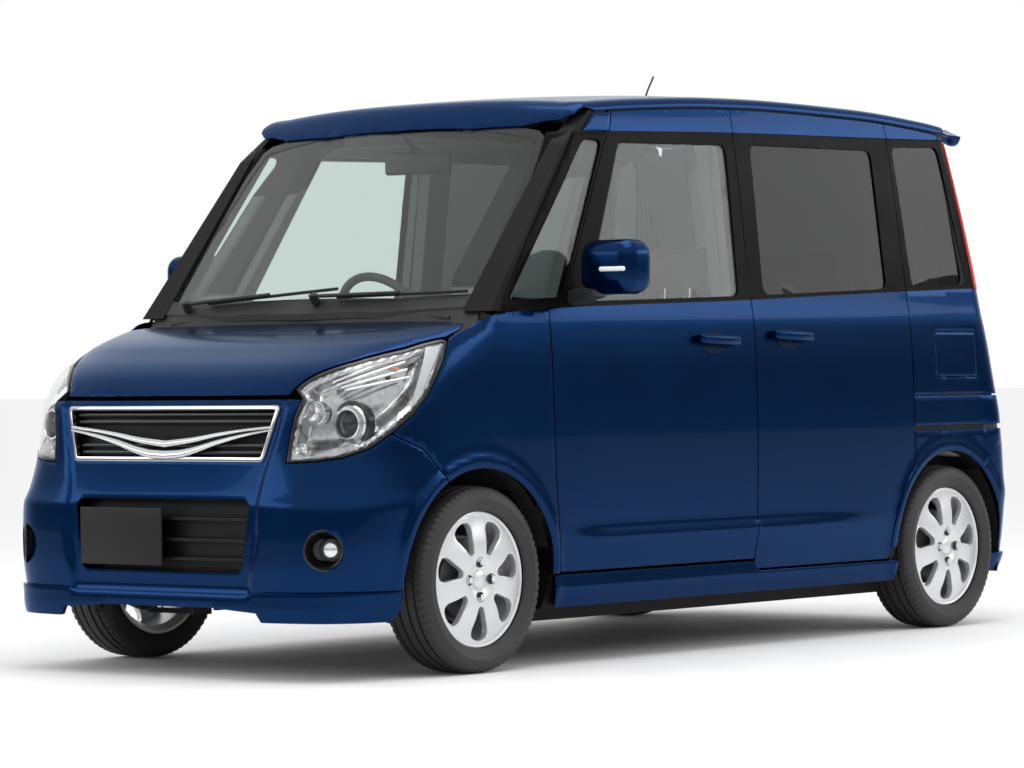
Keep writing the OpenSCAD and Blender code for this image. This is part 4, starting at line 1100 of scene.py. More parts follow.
backing = panel("grilleBacking", inset(upperHole, -0.03), liftBy(-0.03), [frontMesh], thickness=0.004, net=0.03)
fasten(backing, "car_body", "black_trim")
for k, z in enumerate(grilleSet["bars"]):
    half = 0.37 + (z - 0.618) * 0.29
    grilleBar("grilleBar" + str(k), z, half, 0.004, -0.012, glossBlack, thickness=0.012, bevel=0.001)
lowerBack = panel("lowerBacking", inset(lowerHole, -0.05), liftBy(-0.04), [frontMesh], thickness=0.004, net=0.03)
fasten(lowerBack, "car_body", "black_trim", "lower_grille")
for k, z in enumerate(grilleSet["lowerBars"]):
    half = 0.34 - (0.508 - z) * 0.13
    grilleBar("lowerBar" + str(k), z, half, 0.005, -0.014, frontMesh, thickness=0.02, bevel=0.002)
plateSize = (0.33, 0.008, 0.165)
plateFinish = grained(
    "blankPlate", (0.006, 0.006, 0.007), (0.012, 0.012, 0.013), 500, (0.4, 0.5), 0.1, Specular_IOR_Level=0.25)
plateSpot = around(atX(-0.15, 0.4), 0.4, 0.006) + Vector((0, -0.004, 0))
fasten(block("frontPlate", plateSize, plateSpot, plateFinish, 0.0035), "car_body", "black_trim")


# fog lamps
def viewSpot(u, z, out):
    return around(atView(u, z), z, out)


def lampPiece(name, profile, finish, slot, matrix, steps, smooth=30):  # a turned piece set into both lamps
    bothSides(place(turned(name, profile, finish, steps, smooth), matrix), "car_body", slot)


lampClear = grained(
    "lampGlass", (0.97, 0.98, 0.99), (0.98, 0.99, 1.0), 5, (0.0, 0.02), 0.0, Transmission_Weight=1.0, IOR=1.3)
reflector = grained("reflector", (0.62, 0.63, 0.64), (0.85, 0.86, 0.87), 140, (0.12, 0.25), 0.25, 0.001, Metallic=1.0)
fogSpot = viewSpot(fogSet["across"], fogSet["z"], 0.0)
fogOut = (viewSpot(fogSet["across"], fogSet["z"], 0.02) - fogSpot).normalized()
fogAxis = (fogOut + Vector((0, -0.6, 0))).normalized()
cupProfile = [
    (0.0005, -0.05), (0.03, -0.05), (0.044, -0.03), (0.052, -0.004), (0.0555, 0.001), (0.0585, 0.0005), (0.059, -0.004)]
lampPiece("fogCup", cupProfile, glossBlack, "black_trim", axisMatrix(fogSpot + fogOut * 0.004, fogOut), 40)
lensProfile = [(0.0005, 0.016), (0.012, 0.0145), (0.024, 0.009), (0.031, 0.0), (0.033, -0.004), (0.0335, -0.02)]
lensSpot = fogSpot - fogOut * 0.022 + Vector((0.012, 0.012, 0))
lampPiece("fogLens", lensProfile, reflector, "lamp_lens", axisMatrix(lensSpot, fogAxis), 40)

# headlamps: bowl, clear cover, black border, projector, small lamp, bars
lampSet = {  # each round lamp: right of the middle in the photograph's view, height, radius
    "deep": 0.05,
    "border": 0.006,
    "projector": (-0.513, 0.7185, 0.046),
    "small": (-0.652, 0.647, 0.019),
    "side": (-0.611, 0.75, 0.03),
}
lampLoop = lampInner[:-1] + lampLower[:-1] + lampRear + lampTop[::-1]
lampRing = inset(densify(lampLoop, 0.012), gap)
cover = panel("lampCover", inset(lampRing, 0.001), liftBy(0.002), [lampClear], thickness=0.003, bevel=0, net=0.016)
bothSides(cover, "car_body", "lamp_lens", "front_lamps")
border = panel(
    "lampBorder", lampRing, liftBy(0.0032), [glossBlack], [inset(lampRing, lampSet["border"])], thickness=0.012,
    bevel=0.001, net=0.01)
bothSides(border, "car_body", "black_trim")
innerRing = inset(lampRing, 0.01)


def bowlLift(s, z):  # deep in the middle, shallow at its edge
    edge = min(math.hypot(s - a, z - b) for a, b in innerRing)
    return around(s, z, -0.004 - lampSet["deep"] * blendStep(edge, 0, 0.05))


bowlChrome = grained("bowlChrome", (0.3, 0.305, 0.31), (0.6, 0.605, 0.61), 60, (0.1, 0.2), 0.2, 0.002, Metallic=1.0)
bowl = panel("lampBowl", inset(lampRing, 0.003), bowlLift, [bowlChrome], thickness=0.003, bevel=0, net=0.01)
bothSides(bowl, "car_body", "lamp_lens")


def scaled(r, *rows):
    return [(r * share, h) for share, h in rows]


forward = Vector((0.12, -1, 0.02)).normalized()
u, z, r = lampSet["projector"]
spot = axisMatrix(viewSpot(u, z, -0.035), forward)
barrelRows = scaled(
    r, (1.18, -0.05), (1.18, 0.0), (1.1, 0.006), (0.98, 0.002), (0.95, 0.016), (0.86, 0.018), (0.8, 0.012), (0.76, -0.004))
lampPiece("lampBarrel", barrelRows, reflector, "lamp_lens", spot, 56)
# gloss black ring round the barrel: painted reflection, the dark ring that the chrome bowl shows round the projector
darkRingPaintedReflectionRows = scaled(r, (1.16, -0.004), (1.3, -0.001), (1.42, -0.006), (1.42, -0.03))
lampPiece("lampDarkRingPaintedReflection", darkRingPaintedReflectionRows, glossBlack, "black_trim", spot, 48)
eyeRows = [(0.0005, 0.012)] + scaled(r, (0.25, 0.0105), (0.5, 0.006), (0.68, -0.002), (0.78, -0.012))
lampPiece("lampEye", eyeRows, glossBlack, "black_trim", spot, 40, 60)
u, z, r = lampSet["small"]
smallRows = [(0.0005, 0.004)] + scaled(
    r, (0.35, 0.003), (0.55, -0.002), (0.62, 0.001), (0.95, 0.008), (1.05, 0.006), (1.05, -0.03))
lampPiece("lampSmall", smallRows, reflector, "lamp_lens", axisMatrix(viewSpot(u, z, -0.016), forward), 36)
u, z, r = lampSet["side"]
sideRows = [(0.0005, -0.018)] + scaled(r, (0.5, -0.014), (0.85, -0.004), (1, 0.006), (1.06, 0.005), (1.06, -0.02))
lampPiece("lampSideBowl", sideRows, reflector, "lamp_lens", axisMatrix(viewSpot(u, z, -0.035), forward), 40)
amber = grained("amberLens", (0.5, 0.12, 0.02), (0.65, 0.2, 0.04), 80, (0.2, 0.3), 0.1)
for k in range(4):
    ua, za = -0.565 + 0.012 * k, 0.81 + 0.002 + 0.022 * (3 - k) / 3
    ub, zb = -0.365 + 0.006 * k, 0.848 + 0.021 * (3 - k)
    line = [viewSpot(ua + (ub - ua) * t, za + (zb - za) * t, -0.02) for t in np.linspace(0, 1, 7)]
    bothSides(pipe("lampBar" + str(k), line, 0.0042, reflector), "car_body", "lamp_lens")
for k, (u, z) in enumerate(((-0.392, 0.897), (-0.386, 0.87))):
    bit = block("lampAmber" + str(k), (0.022, 0.02, 0.012), viewSpot(u, z, -0.022), amber, 0.003)
    bothSides(bit, "car_body", "lamp_lens")
whiteStrip = grained("lampWhite", (0.7, 0.72, 0.74), (0.85, 0.86, 0.87), 200, (0.25, 0.35), 0.1)
stripLoop = viewRun(
    [(-0.352, 0.752), (-0.318, 0.803), (-0.292, 0.865), (-0.266, 0.938), (-0.306, 0.94), (-0.318, 0.87), (-0.335, 0.81)])
strip = panel("lampStrip", stripLoop, liftBy(-0.006), [whiteStrip], thickness=0.003, bevel=0, net=0.012)
bothSides(strip, "car_body", "lamp_lens")
print("front details done")

# wheels
wheelSet = {"spokes": 7, "face": 0.058, "bolts": 0.05, "slots": 72}
alloy = grained("alloy", (0.62, 0.625, 0.64), (0.74, 0.745, 0.76), 700, (0.3, 0.38), 0.05, 0.0004, Metallic=0.6)
tyreRubber = grained("tyreRubber", (0.012, 0.012, 0.012), (0.022, 0.022, 0.022), 300, (0.55, 0.7), 0.25, 0.0008)
axleTurn = Matrix.Rotation(math.pi / 2, 4, "Y")


def faceHeight(r):
    return wheelSet["face"] + 0.012 * blendStep(r, 0.19, 0.09) - 0.008 * blendStep(r, 0.06, 0.03)


petals = []
petalForm = (  # radius and angle round a hole between two spokes
    (0.078, -0.12), (0.078, 0.12), (0.12, 0.2), (0.15, 0.245), (0.168, 0.2), (0.174, 0.1), (0.176, 0.0), (0.174, -0.1),
    (0.168, -0.2), (0.15, -0.245), (0.12, -0.2))
for k in range(wheelSet["spokes"]):
    middle = math.pi / 2 + (k + 0.5) * 2 * math.pi / wheelSet["spokes"]
    petals.append(roundCorners([(r * math.cos(middle + a), r * math.sin(middle + a)) for r, a in petalForm], 0.012))
rimFace = panel(
    "rimFace", circle(0, 0, 0.189, 96), lambda u, v: (faceHeight(math.hypot(u, v)), u, v), [alloy], petals, net=0.011,
    thickness=0.02, bevel=0.005, outward=(-1, 0, 0))
barrelProfile = [
    (0.183, 0.05), (0.187, 0.0595), (0.1915, 0.0625), (0.1945, 0.0615), (0.195, 0.057), (0.188, 0.05), (0.18, 0.02),
    (0.176, -0.05), (0.19, -0.066), (0.195, -0.072), (0.186, -0.073), (0.17, -0.05), (0.172, 0.02), (0.176, 0.045),
    (0.183, 0.05)]
rimBarrel = turned("rimBarrel", barrelProfile, alloy, 96)
hubCap = turned("hubCap", [(0.0005, 0.069), (0.02, 0.068), (0.026, 0.065), (0.028, 0.06), (0.029, 0.052)], alloy, 48)
discProfile = [(0.04, 0.02), (0.115, 0.02), (0.117, 0.018), (0.117, 0.008), (0.115, 0.006), (0.04, 0.006)]
disc = turned("brakeDisc", discProfile, castMetal, 64)
rimParts = [rimFace] + [place(part, axleTurn) for part in (rimBarrel, hubCap, disc)]
wellProfile = [(0.0005, 0.0685), (0.0115, 0.0685), (0.014, 0.0705), (0.0155, 0.0695), (0.0158, 0.066)]
for k in range(4):
    a = k * math.pi / 2
    spot = Vector((0, wheelSet["bolts"] * math.cos(a), wheelSet["bolts"] * math.sin(a)))
    well = place(turned("nutWell", wellProfile, satinBlack, 28), Matrix.Translation(spot) @ axleTurn)
    bpy.ops.mesh.primitive_cylinder_add(vertices=6, radius=0.0095, depth=0.016)
    nut = bpy.context.object
    nut.data.materials.append(chrome)
    place(nut, Matrix.Translation(spot + Vector((0.069, 0, 0))) @ axleTurn)
    rimParts += [well, nut]
wheelFace = joined("wheel", *rimParts)

tyreProfile = [  # radius, width, kind of tread cut
    (0.1955, -0.066, 0), (0.2, -0.074, 0), (0.214, -0.0805, 0), (0.232, -0.0825, 0), (0.243, -0.0815, 0),
    (0.252, -0.078, 1), (0.2595, -0.073, 1), (0.2645, -0.066, 1), (0.2662, -0.055, 1), (0.2662, -0.0502, 0),
    (0.2592, -0.05, 0), (0.2592, -0.043, 0), (0.267, -0.0428, 0), (0.2675, -0.025, 2), (0.2675, -0.0212, 0),
    (0.26, -0.021, 0), (0.26, -0.0135, 0), (0.2678, -0.0133, 0), (0.268, 0.0, 0),
]
tyreProfile = tyreProfile + [(r, -x, kind) for r, x, kind in tyreProfile[-2::-1]]
tyreProfile = tyreProfile[:-4] + [(0.2325, 0.0826, 0), (0.2305, 0.0838, 0), (0.228, 0.0826, 0)] + tyreProfile[-3:]
rows = wheelSet["slots"] * 3
points, faces = [], []
for k in range(rows):
    a = 2 * math.pi * k / rows
    for r, x, kind in tyreProfile:
        cut = (kind == 1 and k % 3 == 0) or (kind == 2 and k % 3 == 1)
        depth = (0.005 if kind == 1 else 0.003) if cut else 0
        points.append((x, (r - depth) * math.cos(a), (r - depth) * math.sin(a)))
count = len(tyreProfile)
for k in range(rows):
    after = (k + 1) % rows
    for i in range(count - 1):
        faces.append((k * count + i, k * count + i + 1, after * count + i + 1, after * count + i))
tyre = newObject("tyre", points, faces, tyreRubber)
useOnly(tyre)
bpy.ops.object.shade_smooth_by_angle(angle=math.radians(28))
tread = tyre.data.polygons[count * 3 + 18]
if tread.normal.dot(Vector((0, *tread.center[1:]))) < 0:
    tyre.data.flip_normals()
for end, wheelY in (("front", axleFront), ("rear", axleRear)):
    for side, sign in (("left", 1), ("right", -1)):
        for source, slot, node in ((tyre, "tyre", "tyre"), (wheelFace, "alloy", "rim")):
            copied = copyOf(source, node + end.capitalize() + side.capitalize())
            if sign < 0:
                copied.data.transform(Matrix.Rotation(math.pi, 4, "Z"))
            copied.data.transform(Matrix.Translation((sign * wheelX, wheelY, axleZ)))
            fasten(copied, "wheel_" + end + "_" + side, slot, node + "_" + end + "_" + side)
bpy.data.objects.remove(tyre)
bpy.data.objects.remove(wheelFace)
print("wheels done")


# cowl, the screen's black border, pillars, wipers
def cowlLift(x, t):  # a gutter behind the bonnet, then up to the glass
    q = min(1, max(0, t / 0.1))
    low = bonnetRear + 0.001
    zb = 1.062 + 0.016 * (1 - (x / 0.626) ** 2)
    a = Vector((x, low, bonnetZ(min(abs(x), 0.68), low) - 0.032))
    b = Vector((x, screenY(x, zb) - 0.003, zb))
    return Vector((x, a.y + (b.y - a.y) * q, a.z + (b.z - a.z) * max(0, (q - 0.45) / 0.55)))


cowlLoop = [(x, 0) for x in np.linspace(-0.676, 0.676, 25)] + [(0.655, 0.09)]
cowlLoop += [(x, 0.1) for x in np.linspace(0.632, -0.632, 21)] + [(-0.655, 0.09)]
cowl = panel("cowl", cowlLoop, cowlLift, [satinBlack], thickness=0.006, net=0.02, outward=(0, -0.9, 0.2))
fasten(cowl, "car_body", "black_trim", "wipers")
frit = panel(
    "screenBorder", inset(screenLoop, -0.006), lambda x, z: (x, screenY(x, z) + 0.003, z), [glossBlack],
    [inset(screenLoop, 0.018)], thickness=0.006, bevel=0, outward=(0, 0.5, 1.2))
fasten(frit, "car_body", "black_trim")


def pillarLift(t, z):
    xs = screenSide(z) + 0.008
    a = Vector((xs, screenY(xs, z) + 0.002, z))
    ys = screenLine(z) + 0.006
    b = Vector((sideX(ys, z) + 0.001, ys, z))
    s = t / 0.1
    bulge = 0.01 * math.sin(math.pi * min(1, max(0, s)))
    return a.lerp(b, s) + Vector((0.6, -0.8, 0)) * bulge


pillarLoop = densify([(0, 1.045), (0.1, 1.02), (0.1, 1.572), (0, 1.572)], 0.02)
pillarSkin = panel("screenPillar", pillarLoop, pillarLift, [pillarBlack], thickness=0.006, net=0.016, outward=(0, 0.4, 1.2))
bothSides(pillarSkin, "car_body", "black_trim")


def screenSpot(x, z, out):
    return Vector((x, screenY(x, z) - out * 0.78, z + out * 0.62))


wiperSet = (((-0.5, 1.062), (0.08, 1.1)), ((0.05, 1.075), (0.56, 1.085)))  # root and tip of each, as x and z
for k, (root, tip) in enumerate(wiperSet):
    def along(t):
        return root[0] + (tip[0] - root[0]) * t, root[1] + (tip[1] - root[1]) * t
    armLine = [screenSpot(*along(t), 0.026 - 0.006 * t) for t in (0, 0.15, 0.3, 0.5, 0.62)]
    bladeLine = [screenSpot(along(t)[0], along(t)[1] + 0.003, 0.011) for t in (0.16, 0.4, 0.6, 0.8, 1.06)]
    arm = pipe("wiperArm" + str(k), armLine, 0.006, satinBlack)
    blade = pipe("wiperBlade" + str(k), bladeLine, 0.005, rubber)
    pivot = turned("wiperPivot", [(0.0005, 0.016), (0.01, 0.015), (0.013, 0.01), (0.014, -0.02)], satinBlack, 24)
    place(pivot, axisMatrix(screenSpot(*along(0), 0.022), (0, -0.5, 0.85)))
    fasten(joined("wiper" + str(k), arm, blade, pivot), "car_body", "black_trim")

# mirrors
mirrorSet = {"size": (0.2, 0.125, 0.16), "centre": (0.85, -0.655, 1.163)}
shell = block("mirrorShell", mirrorSet["size"], (0, 0, 0), paint, 0.046, None, 8, 60)
for v in shell.data.vertices:
    v.co.y += 0.10 * (abs(v.co.x + 0.05) ** 1.5)
    v.co.z *= 1 - 0.5 * max(0, -v.co.x - 0.04)
bothSides(place(shell, Matrix.Translation(mirrorSet["centre"])), "front_door_{}", "paint", "mirror_{}")
mirrorArm = block(
    "mirrorArm", (0.13, 0.07, 0.045), (0.755, -0.672, 1.085), satinBlack, 0.016, Matrix.Rotation(-0.25, 3, "Y"))
bothSides(mirrorArm, "front_door_{}", "black_trim")
turnStrip = block(
    "mirrorStrip", (0.085, 0.012, 0.014), (0.888, -0.7165, 1.156), whiteStrip, 0.005, Matrix.Rotation(0.16, 3, "Z"))
bothSides(turnStrip, "front_door_{}", "lamp_lens")
mirrorGlass = block("mirrorGlass", (0.135, 0.004, 0.105), (0.85, -0.592, 1.163), chrome, 0.0019)
bothSides(mirrorGlass, "front_door_{}", "bright_trim")

# door handles: pull bar over a shallow cup, the cup drawn as a thin oval of darker paint, which is painted shade
# darker copy of the body paint: painted shade of the recess under each handle
cupPaintedShade = grained(
    "cupPaintedShade", (0.0006, 0.005, 0.024), (0.0015, 0.012, 0.05), 900, (0.25, 0.32), 0.02, 0.0002, Metallic=0.9,
    Specular_IOR_Level=0.2)
handleSet = {"long": 0.2, "rows": (("front_door_{}", -0.01, 0.948), ("car_body", 0.378, 0.961))}
for k, (carrier, y, z) in enumerate(handleSet["rows"]):
    ring = np.linspace(0, 2 * math.pi, 33)[:-1]
    oval = [(y + 0.062 * math.cos(a) - 0.012, z + 0.036 * math.sin(a) - 0.004) for a in ring]
    handleCupPaintedShade = panel("handleCupPaintedShade" + str(k), oval, sideLiftBy(0.0042), [cupPaintedShade], thickness=0.0015, bevel=0, net=0.01)
    bothSides(handleCupPaintedShade, carrier, "black_trim")
    x = sideX(y, z)
    grip = block("handle" + str(k), (0.022, handleSet["long"], 0.03), (x + 0.03, y, z + 0.004), paint, 0.0105, None, 5)
    for v in grip.data.vertices:
        v.co.x -= 0.012 * (abs(v.co.y - y) / 0.1) ** 4
        v.co.z -= 0.004 * ((v.co.y - y) / 0.1)
    footSpots = [(x + 0.012, y + 0.082 * s, z + 0.004 - 0.0035 * s) for s in (1, -1)]
    feet = [block("handleFoot", (0.026, 0.03, 0.024), spot, paint, 0.005) for spot in footSpots]
    bothSides(joined("handle" + str(k), grip, *feet), carrier, "paint")

# spoiler, antenna
spoilerSet = {"front": 1.468, "rear": 1.587, "half": 0.606, "edge": 0.007, "deep": 0.044, "nose": 0.012}


def spoilerRing(x):
    fit = math.sqrt(max(0.03, 1 - max(0, (abs(x) - 0.57) / 0.0365) ** 2))
    rear = spoilerSet["rear"] - 0.035 * (abs(x) / spoilerSet["half"]) ** 8 - spoilerSet["nose"]

    def topZ(y):
        return roofZ(min(abs(x), roofSet["flat"]), hingeY) + 0.003 - tailDrop(y) - 0.35 * max(0, abs(x) - 0.54)

    run = [spoilerSet["front"] + (rear - spoilerSet["front"]) * u for u in np.linspace(0, 1, 13)]
    ring = [(x, y, topZ(y)) for y in run]
    deep = spoilerSet["deep"] * fit
    for a in np.radians((60, 30, 0, -30, -60)):
        ring.append((x, rear + spoilerSet["nose"] * math.cos(a), topZ(rear) - deep / 2 + deep / 2 * math.sin(a)))
    for k, y in reversed(list(enumerate(run))):
        thick = spoilerSet["edge"] + (spoilerSet["deep"] - spoilerSet["edge"]) * blendStep(k / 12, 0.1, 0.75)
        ring.append((x, y, topZ(y) - fit * thick))
    return ring


spoilerRows = spoilerSet["half"] * np.sin(np.linspace(-math.pi / 2, math.pi / 2, 61))
fasten(loft("spoiler", [spoilerRing(x) for x in spoilerRows], paint), "tailgate", "paint")
antennaZ = roofZ(0, 0.59)
baseProfile = [(0.0005, 0.03), (0.006, 0.028), (0.012, 0.016), (0.02, 0.004), (0.022, -0.004)]
base = place(turned("antennaBase", baseProfile, satinBlack, 28), Matrix.Translation((0, 0.59, antennaZ)))
rodLine = [(0, 0.592, antennaZ + 0.02), (0, 0.606, antennaZ + 0.05), (0, 0.64, 1.832)]
rod = pipe("antennaRod", rodLine, 0.0032, satinBlack)
fasten(joined("antennaPiece", base, rod), "car_body", "black_trim", "antenna")
print("trim done")

# cabin: seats blown up as cloth, lining, mirror, meter hood
seatSet = {"front": (0.33, -0.02), "rear": (0.28, 0.75), "pressure": 4.0, "cap": 0.018, "voxel": 0.009, "channel": 0.115}


def cushion(name, size, rounding):
    pad = block(name, size, (0, 0, 0), seatCloth, rounding, None, 4)
    net = pad.modifiers.new("net", "REMESH")
    net.mode = "VOXEL"
    net.voxel_size = seatSet["voxel"]
    applyAll(pad)
    rest = [v.co.copy() for v in pad.data.vertices]
    soft = pad.modifiers.new("cloth", "CLOTH")
    soft.settings.use_pressure = True
    soft.settings.uniform_pressure_force = seatSet["pressure"]
    soft.settings.effector_weights.gravity = 0
    for step in range(1, 15):
        bpy.context.scene.frame_set(step)
    applyAll(pad)
    bpy.context.scene.frame_set(1)
    for v, before in zip(pad.data.vertices, rest):
        move = v.co - before
        if move.length > seatSet["cap"]:
            v.co = before + move.normalized() * seatSet["cap"]
    for v in pad.data.vertices:  # sewn channels run along the pad
        seam = math.exp(-(((abs(v.co.x) - seatSet["channel"]) / 0.007) ** 2)) if v.co.z > 0 else 0
        v.co.z -= 0.009 * seam
    finer = pad.modifiers.new("finer", "SUBSURF")
    finer.levels = finer.render_levels = 1
    applyAll(pad)
    bpy.ops.object.shade_smooth()
    return pad


def seated(pad, name, x, y, z, lean):
    made = copyOf(pad, name)
    made.data.transform(Matrix.Translation((x, y, z)) @ Matrix.Rotation(lean, 4, "X"))
    fasten(made, "car_body", "seat_cloth")
    return made


seatPad = cushion("seatPad", (0.43, 0.43, 0.1), 0.045)
backPad = cushion("backPad", (0.42, 0.5, 0.08), 0.038)
headPad = cushion("headPad", (0.23, 0.13, 0.055), 0.026)
lean = math.radians(75.5)
frontPads, rearPads = [], []
for row, pads in (("front", frontPads), ("rear", rearPads)):
    x, y = seatSet[row]
    for side, sign in (("Left", 1), ("Right", -1)):
        pads.append(seated(seatPad, row + "Cushion" + side, sign * x, y - 0.02, 0.572, math.radians(3)))
        pads.append(seated(backPad, row + "Back" + side, sign * x, y + 0.27, 0.84, lean))
        pads.append(seated(headPad, row + "Head" + side, sign * x, y + 0.355, 1.185, lean + 0.08))
        for post in (-0.05, 0.05):
            stemLine = [(sign * x + post, y + 0.338, 1.03), (sign * x + post, y + 0.352, 1.16)]
            stem = pipe("headPost", stemLine, 0.006, chrome)
            fasten(stem, "car_body", "bright_trim")
            stem.name = row + "HeadPost" + side + ("A" if post < 0 else "B")
        base = block(row + "SeatBase" + side, (0.36, 0.36, 0.22), (sign * x, y - 0.03, 0.37), dashPlastic, 0.03)
        fasten(base, "car_body", "dash")
        backShell = block(row + "SeatShell" + side, (0.4, 0.5, 0.03), (0, 0, 0), dashPlastic, 0.014)
        place(backShell, Matrix.Translation((sign * x, y + 0.316, 0.83)) @ Matrix.Rotation(lean, 4, "X"))
        fasten(backShell, "car_body", "dash")
for pad in (seatPad, backPad, headPad):
    bpy.data.objects.remove(pad)
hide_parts("front_seats")
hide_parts("rear_seat")
print("seats done")

liningHalf = [(0, -0.6), (0.5, -0.57), (0.56, -0.5), (0.57, 1.3), (0.5, 1.38), (0, 1.39)]


def liningLift(x, y):
    return x, y, roofLift(x, y)[2] - 0.03


lining = panel("headLining", wholeLoop(liningHalf), liningLift, [headlining], thickness=0.006, net=0.05, outward=(0, 0.3, 0))
fasten(lining, "car_body", "dash")
cabinMirror = block(
    "cabinMirror", (0.24, 0.022, 0.07), (0, -0.545, 1.505), satinBlack, 0.01, Matrix.Rotation(0.15, 3, "Z"), 4)
mirrorStem = pipe("cabinMirrorStem", [(0, -0.545, 1.53), (0, -0.6, 1.575), (0, -0.625, 1.598)], 0.009, satinBlack)
fasten(joined("cabinMirror", cabinMirror, mirrorStem), "car_body", "black_trim")

# trims that close the sides of the footwell, the engine bay and the rear pillars
bothSides(block("kickTrim", (0.008, 0.12, 0.5), (0.605, -0.815, 0.55), dashPlastic, 0.002), "car_body", "dash")
bothSides(block("baySide", (0.006, 0.56, 0.5), (0.372, -1.12, 0.56), chassis, 0.002), "car_body", "chassis")
pillarTrimLoop = sideRun([(1.385 - 0.12 * (z - 1.1), z) for z in np.linspace(0.74, 1.62, 16)])
pillarTrimLoop += tailRun([(0.575, z) for z in np.linspace(1.62, 0.74, 16)])
pillarTrim = panel(
    "rearPillarTrim", pillarTrimLoop, liftBy(-0.045), [headlining], thickness=0.004, bevel=0.001, net=0.03)
bothSides(pillarTrim, "car_body", "dash")
dashLean = Matrix.Rotation(-0.14, 3, "X")
hood = block("meterHood", (0.36, 0.2, 0.09), (-0.35, -0.72, 1.03), dashPlastic, 0.04, Matrix.Rotation(-0.12, 3, "X"), 6)
fasten(hood, "car_body", "dash")
fasten(block("dashScreen", (0.24, 0.04, 0.15), (0, -0.65, 0.925), glossBlack, 0.012, dashLean), "car_body", "dash")
for k, x in enumerate((-0.5, -0.16, 0.16, 0.5)):
    vent = block("dashVent" + str(k), (0.09, 0.03, 0.06), (x, -0.648, 0.94), satinBlack, 0.01, dashLean)
    fasten(vent, "car_body", "dash")


# tail: garnish, blank plate, wiper, high lamp
def gateSpot(x, z, out):
    return Vector((x, rearFaceY(x, z) + out, z))


garnish = block("tailGarnish", (0.56, 0.03, 0.045), gateSpot(0, 1.0, 0.014), chrome, 0.012, None, 4)
fasten(garnish, "tailgate", "bright_trim")
gatePlate = grained("paleBlankPlate", (0.6, 0.6, 0.58), (0.7, 0.7, 0.68), 400, (0.4, 0.5), 0.1)
fasten(block("tailPlate", plateSize, gateSpot(0, 0.87, 0.01), gatePlate, 0.0035), "tailgate", "bright_trim")
armLine = [gateSpot(0.02, 1.155, 0.03), gateSpot(-0.1, 1.165, 0.028), gateSpot(-0.3, 1.185, 0.02)]
bladeLine = [gateSpot(-0.05, 1.175, 0.009), gateSpot(-0.2, 1.187, 0.009), gateSpot(-0.36, 1.2, 0.009)]
tailArm = pipe("tailWiperArm", armLine, 0.006, satinBlack)
tailBlade = pipe("tailWiperBlade", bladeLine, 0.005, rubber)
tailHub = turned("tailWiperHub", [(0.0005, 0.03), (0.016, 0.028), (0.02, 0.02), (0.02, -0.01)], satinBlack, 28)
place(tailHub, axisMatrix(gateSpot(0.02, 1.155, 0.006), (0, 1, 0.1)))
fasten(joined("tailWiper", tailArm, tailBlade, tailHub), "tailgate", "black_trim")
highLamp = block("highLamp", (0.26, 0.02, 0.02), (0, 1.572, roofZ(0, 1.4) - 0.022), redLens, 0.006)
fasten(highLamp, "tailgate", "red_lens")
for side, sign in (("Left", 1), ("Right", -1)):
    spot, lean = (sign * 0.56, rearY - 0.006, 0.36), Matrix.Rotation(-sign * 0.16, 3, "Z")
    fasten(block("tailReflector" + side, (0.11, 0.012, 0.03), spot, redLens, 0.005, lean), "car_body", "red_lens")
print("cabin and tail details done")

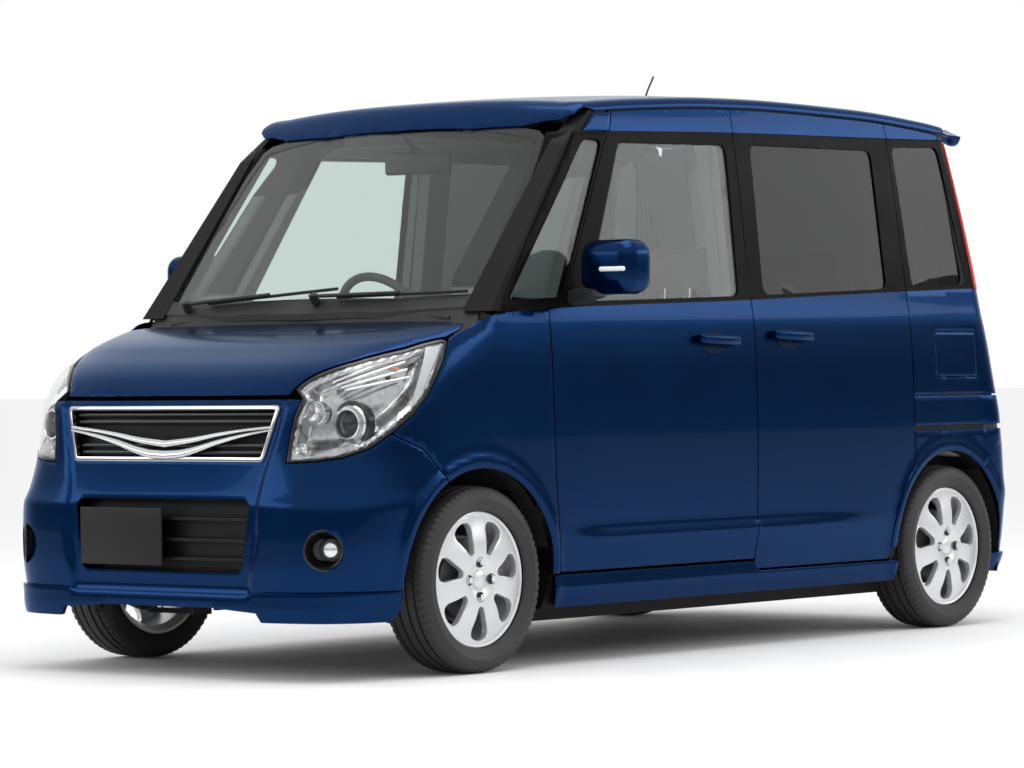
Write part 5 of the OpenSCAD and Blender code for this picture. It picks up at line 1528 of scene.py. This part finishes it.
# door frames and body sides: black outside, pale trim towards the cabin
twoTone, tree, shader = newMaterial("frameTwoTone", Roughness=0.6, Specular_IOR_Level=0.15)
where = nodeOf(tree, "ShaderNodeTexCoord")
parts = nodeOf(tree, "ShaderNodeSeparateXYZ")
across = nodeOf(tree, "ShaderNodeMath", "ABSOLUTE")
leaning = nodeOf(tree, "ShaderNodeMapRange", From_Min=1.0, From_Max=1.7, To_Min=0.0, To_Max=0.088)
both = nodeOf(tree, "ShaderNodeMath", "ADD")
inward = nodeOf(tree, "ShaderNodeMapRange", From_Min=0.698, From_Max=0.692)
speck = nodeOf(tree, "ShaderNodeTexNoise", Scale=700.0)
paleTrim = mixOf(tree, A=(0.3, 0.3, 0.295, 1), B=(0.4, 0.4, 0.39, 1))
toneMix = mixOf(tree, A=(0.004, 0.004, 0.0045, 1))
wire(
    tree, (where.outputs["Object"], parts.inputs[0]), (where.outputs["Object"], speck.inputs["Vector"]),
    (parts.outputs["X"], across.inputs[0]), (parts.outputs["Z"], leaning.inputs["Value"]),
    (across.outputs[0], both.inputs[0]), (leaning.outputs[0], both.inputs[1]),
    (both.outputs[0], inward.inputs["Value"]), (speck.outputs["Fac"], paleTrim.inputs["Factor"]),
)
frontAt = parts.outputs["Y"]
cornerShift = ((1.06, 1.08, 0.475), (1.08, 1.44, -0.282), (1.42, 1.46, -0.25))  # pale trim runs on behind the corner glass
for low, high, shift in cornerShift:
    reach = nodeOf(tree, "ShaderNodeMapRange", From_Min=low, From_Max=high, To_Max=shift)
    total = nodeOf(tree, "ShaderNodeMath", "ADD")
    wire(tree, (parts.outputs["Z"], reach.inputs["Value"]), (frontAt, total.inputs[0]), (reach.outputs[0], total.inputs[1]))
    frontAt = total.outputs[0]
cabinEdges = (  # from none to all of the trim: floor, roof, front, rear
    (0.5, 0.52, parts.outputs["Z"]), (1.63, 1.62, parts.outputs["Z"]), (-0.46, -0.45, frontAt),
    (1.4, 1.38, parts.outputs["Y"]))
factor = inward.outputs[0]
for start, end, source in cabinEdges:
    edge = nodeOf(tree, "ShaderNodeMapRange", From_Min=start, From_Max=end)
    product = nodeOf(tree, "ShaderNodeMath", "MULTIPLY")
    wire(tree, (source, edge.inputs["Value"]), (factor, product.inputs[0]), (edge.outputs[0], product.inputs[1]))
    factor = product.outputs[0]
wire(
    tree, (factor, toneMix.inputs["Factor"]), (paleTrim.outputs["Result"], toneMix.inputs["B"]),
    (toneMix.outputs["Result"], shader.inputs["Base Color"]))

nodeFinish = {  # by the start of the node's name
    "body_side": twoTone, "front_door": twoTone, "sliding_door": twoTone, "floor": chassis,
    "bulkhead": satinBlack, "wheel_liners": satinBlack, "hinge": castMetal, "engine": castMetal,
    "front_suspension": chassis, "knuckle": castMetal, "rear_axle": chassis, "underfloor": chassis,
    "dashboard": dashPlastic, "steering": dashPlastic, "front_seats": seatCloth, "rear_seat": seatCloth,
    "tyre": rubber, "rim": chrome, "upper_grille": chrome, "lower_grille": satinBlack, "front_lamps": clearGlass,
    "wipers": satinBlack, "antenna": satinBlack, "mirror": paint,
}
for name, node in nodes.items():
    for start, material in nodeFinish.items():
        if name.startswith(start):
            node.data.materials.clear()
            node.data.materials.append(material)
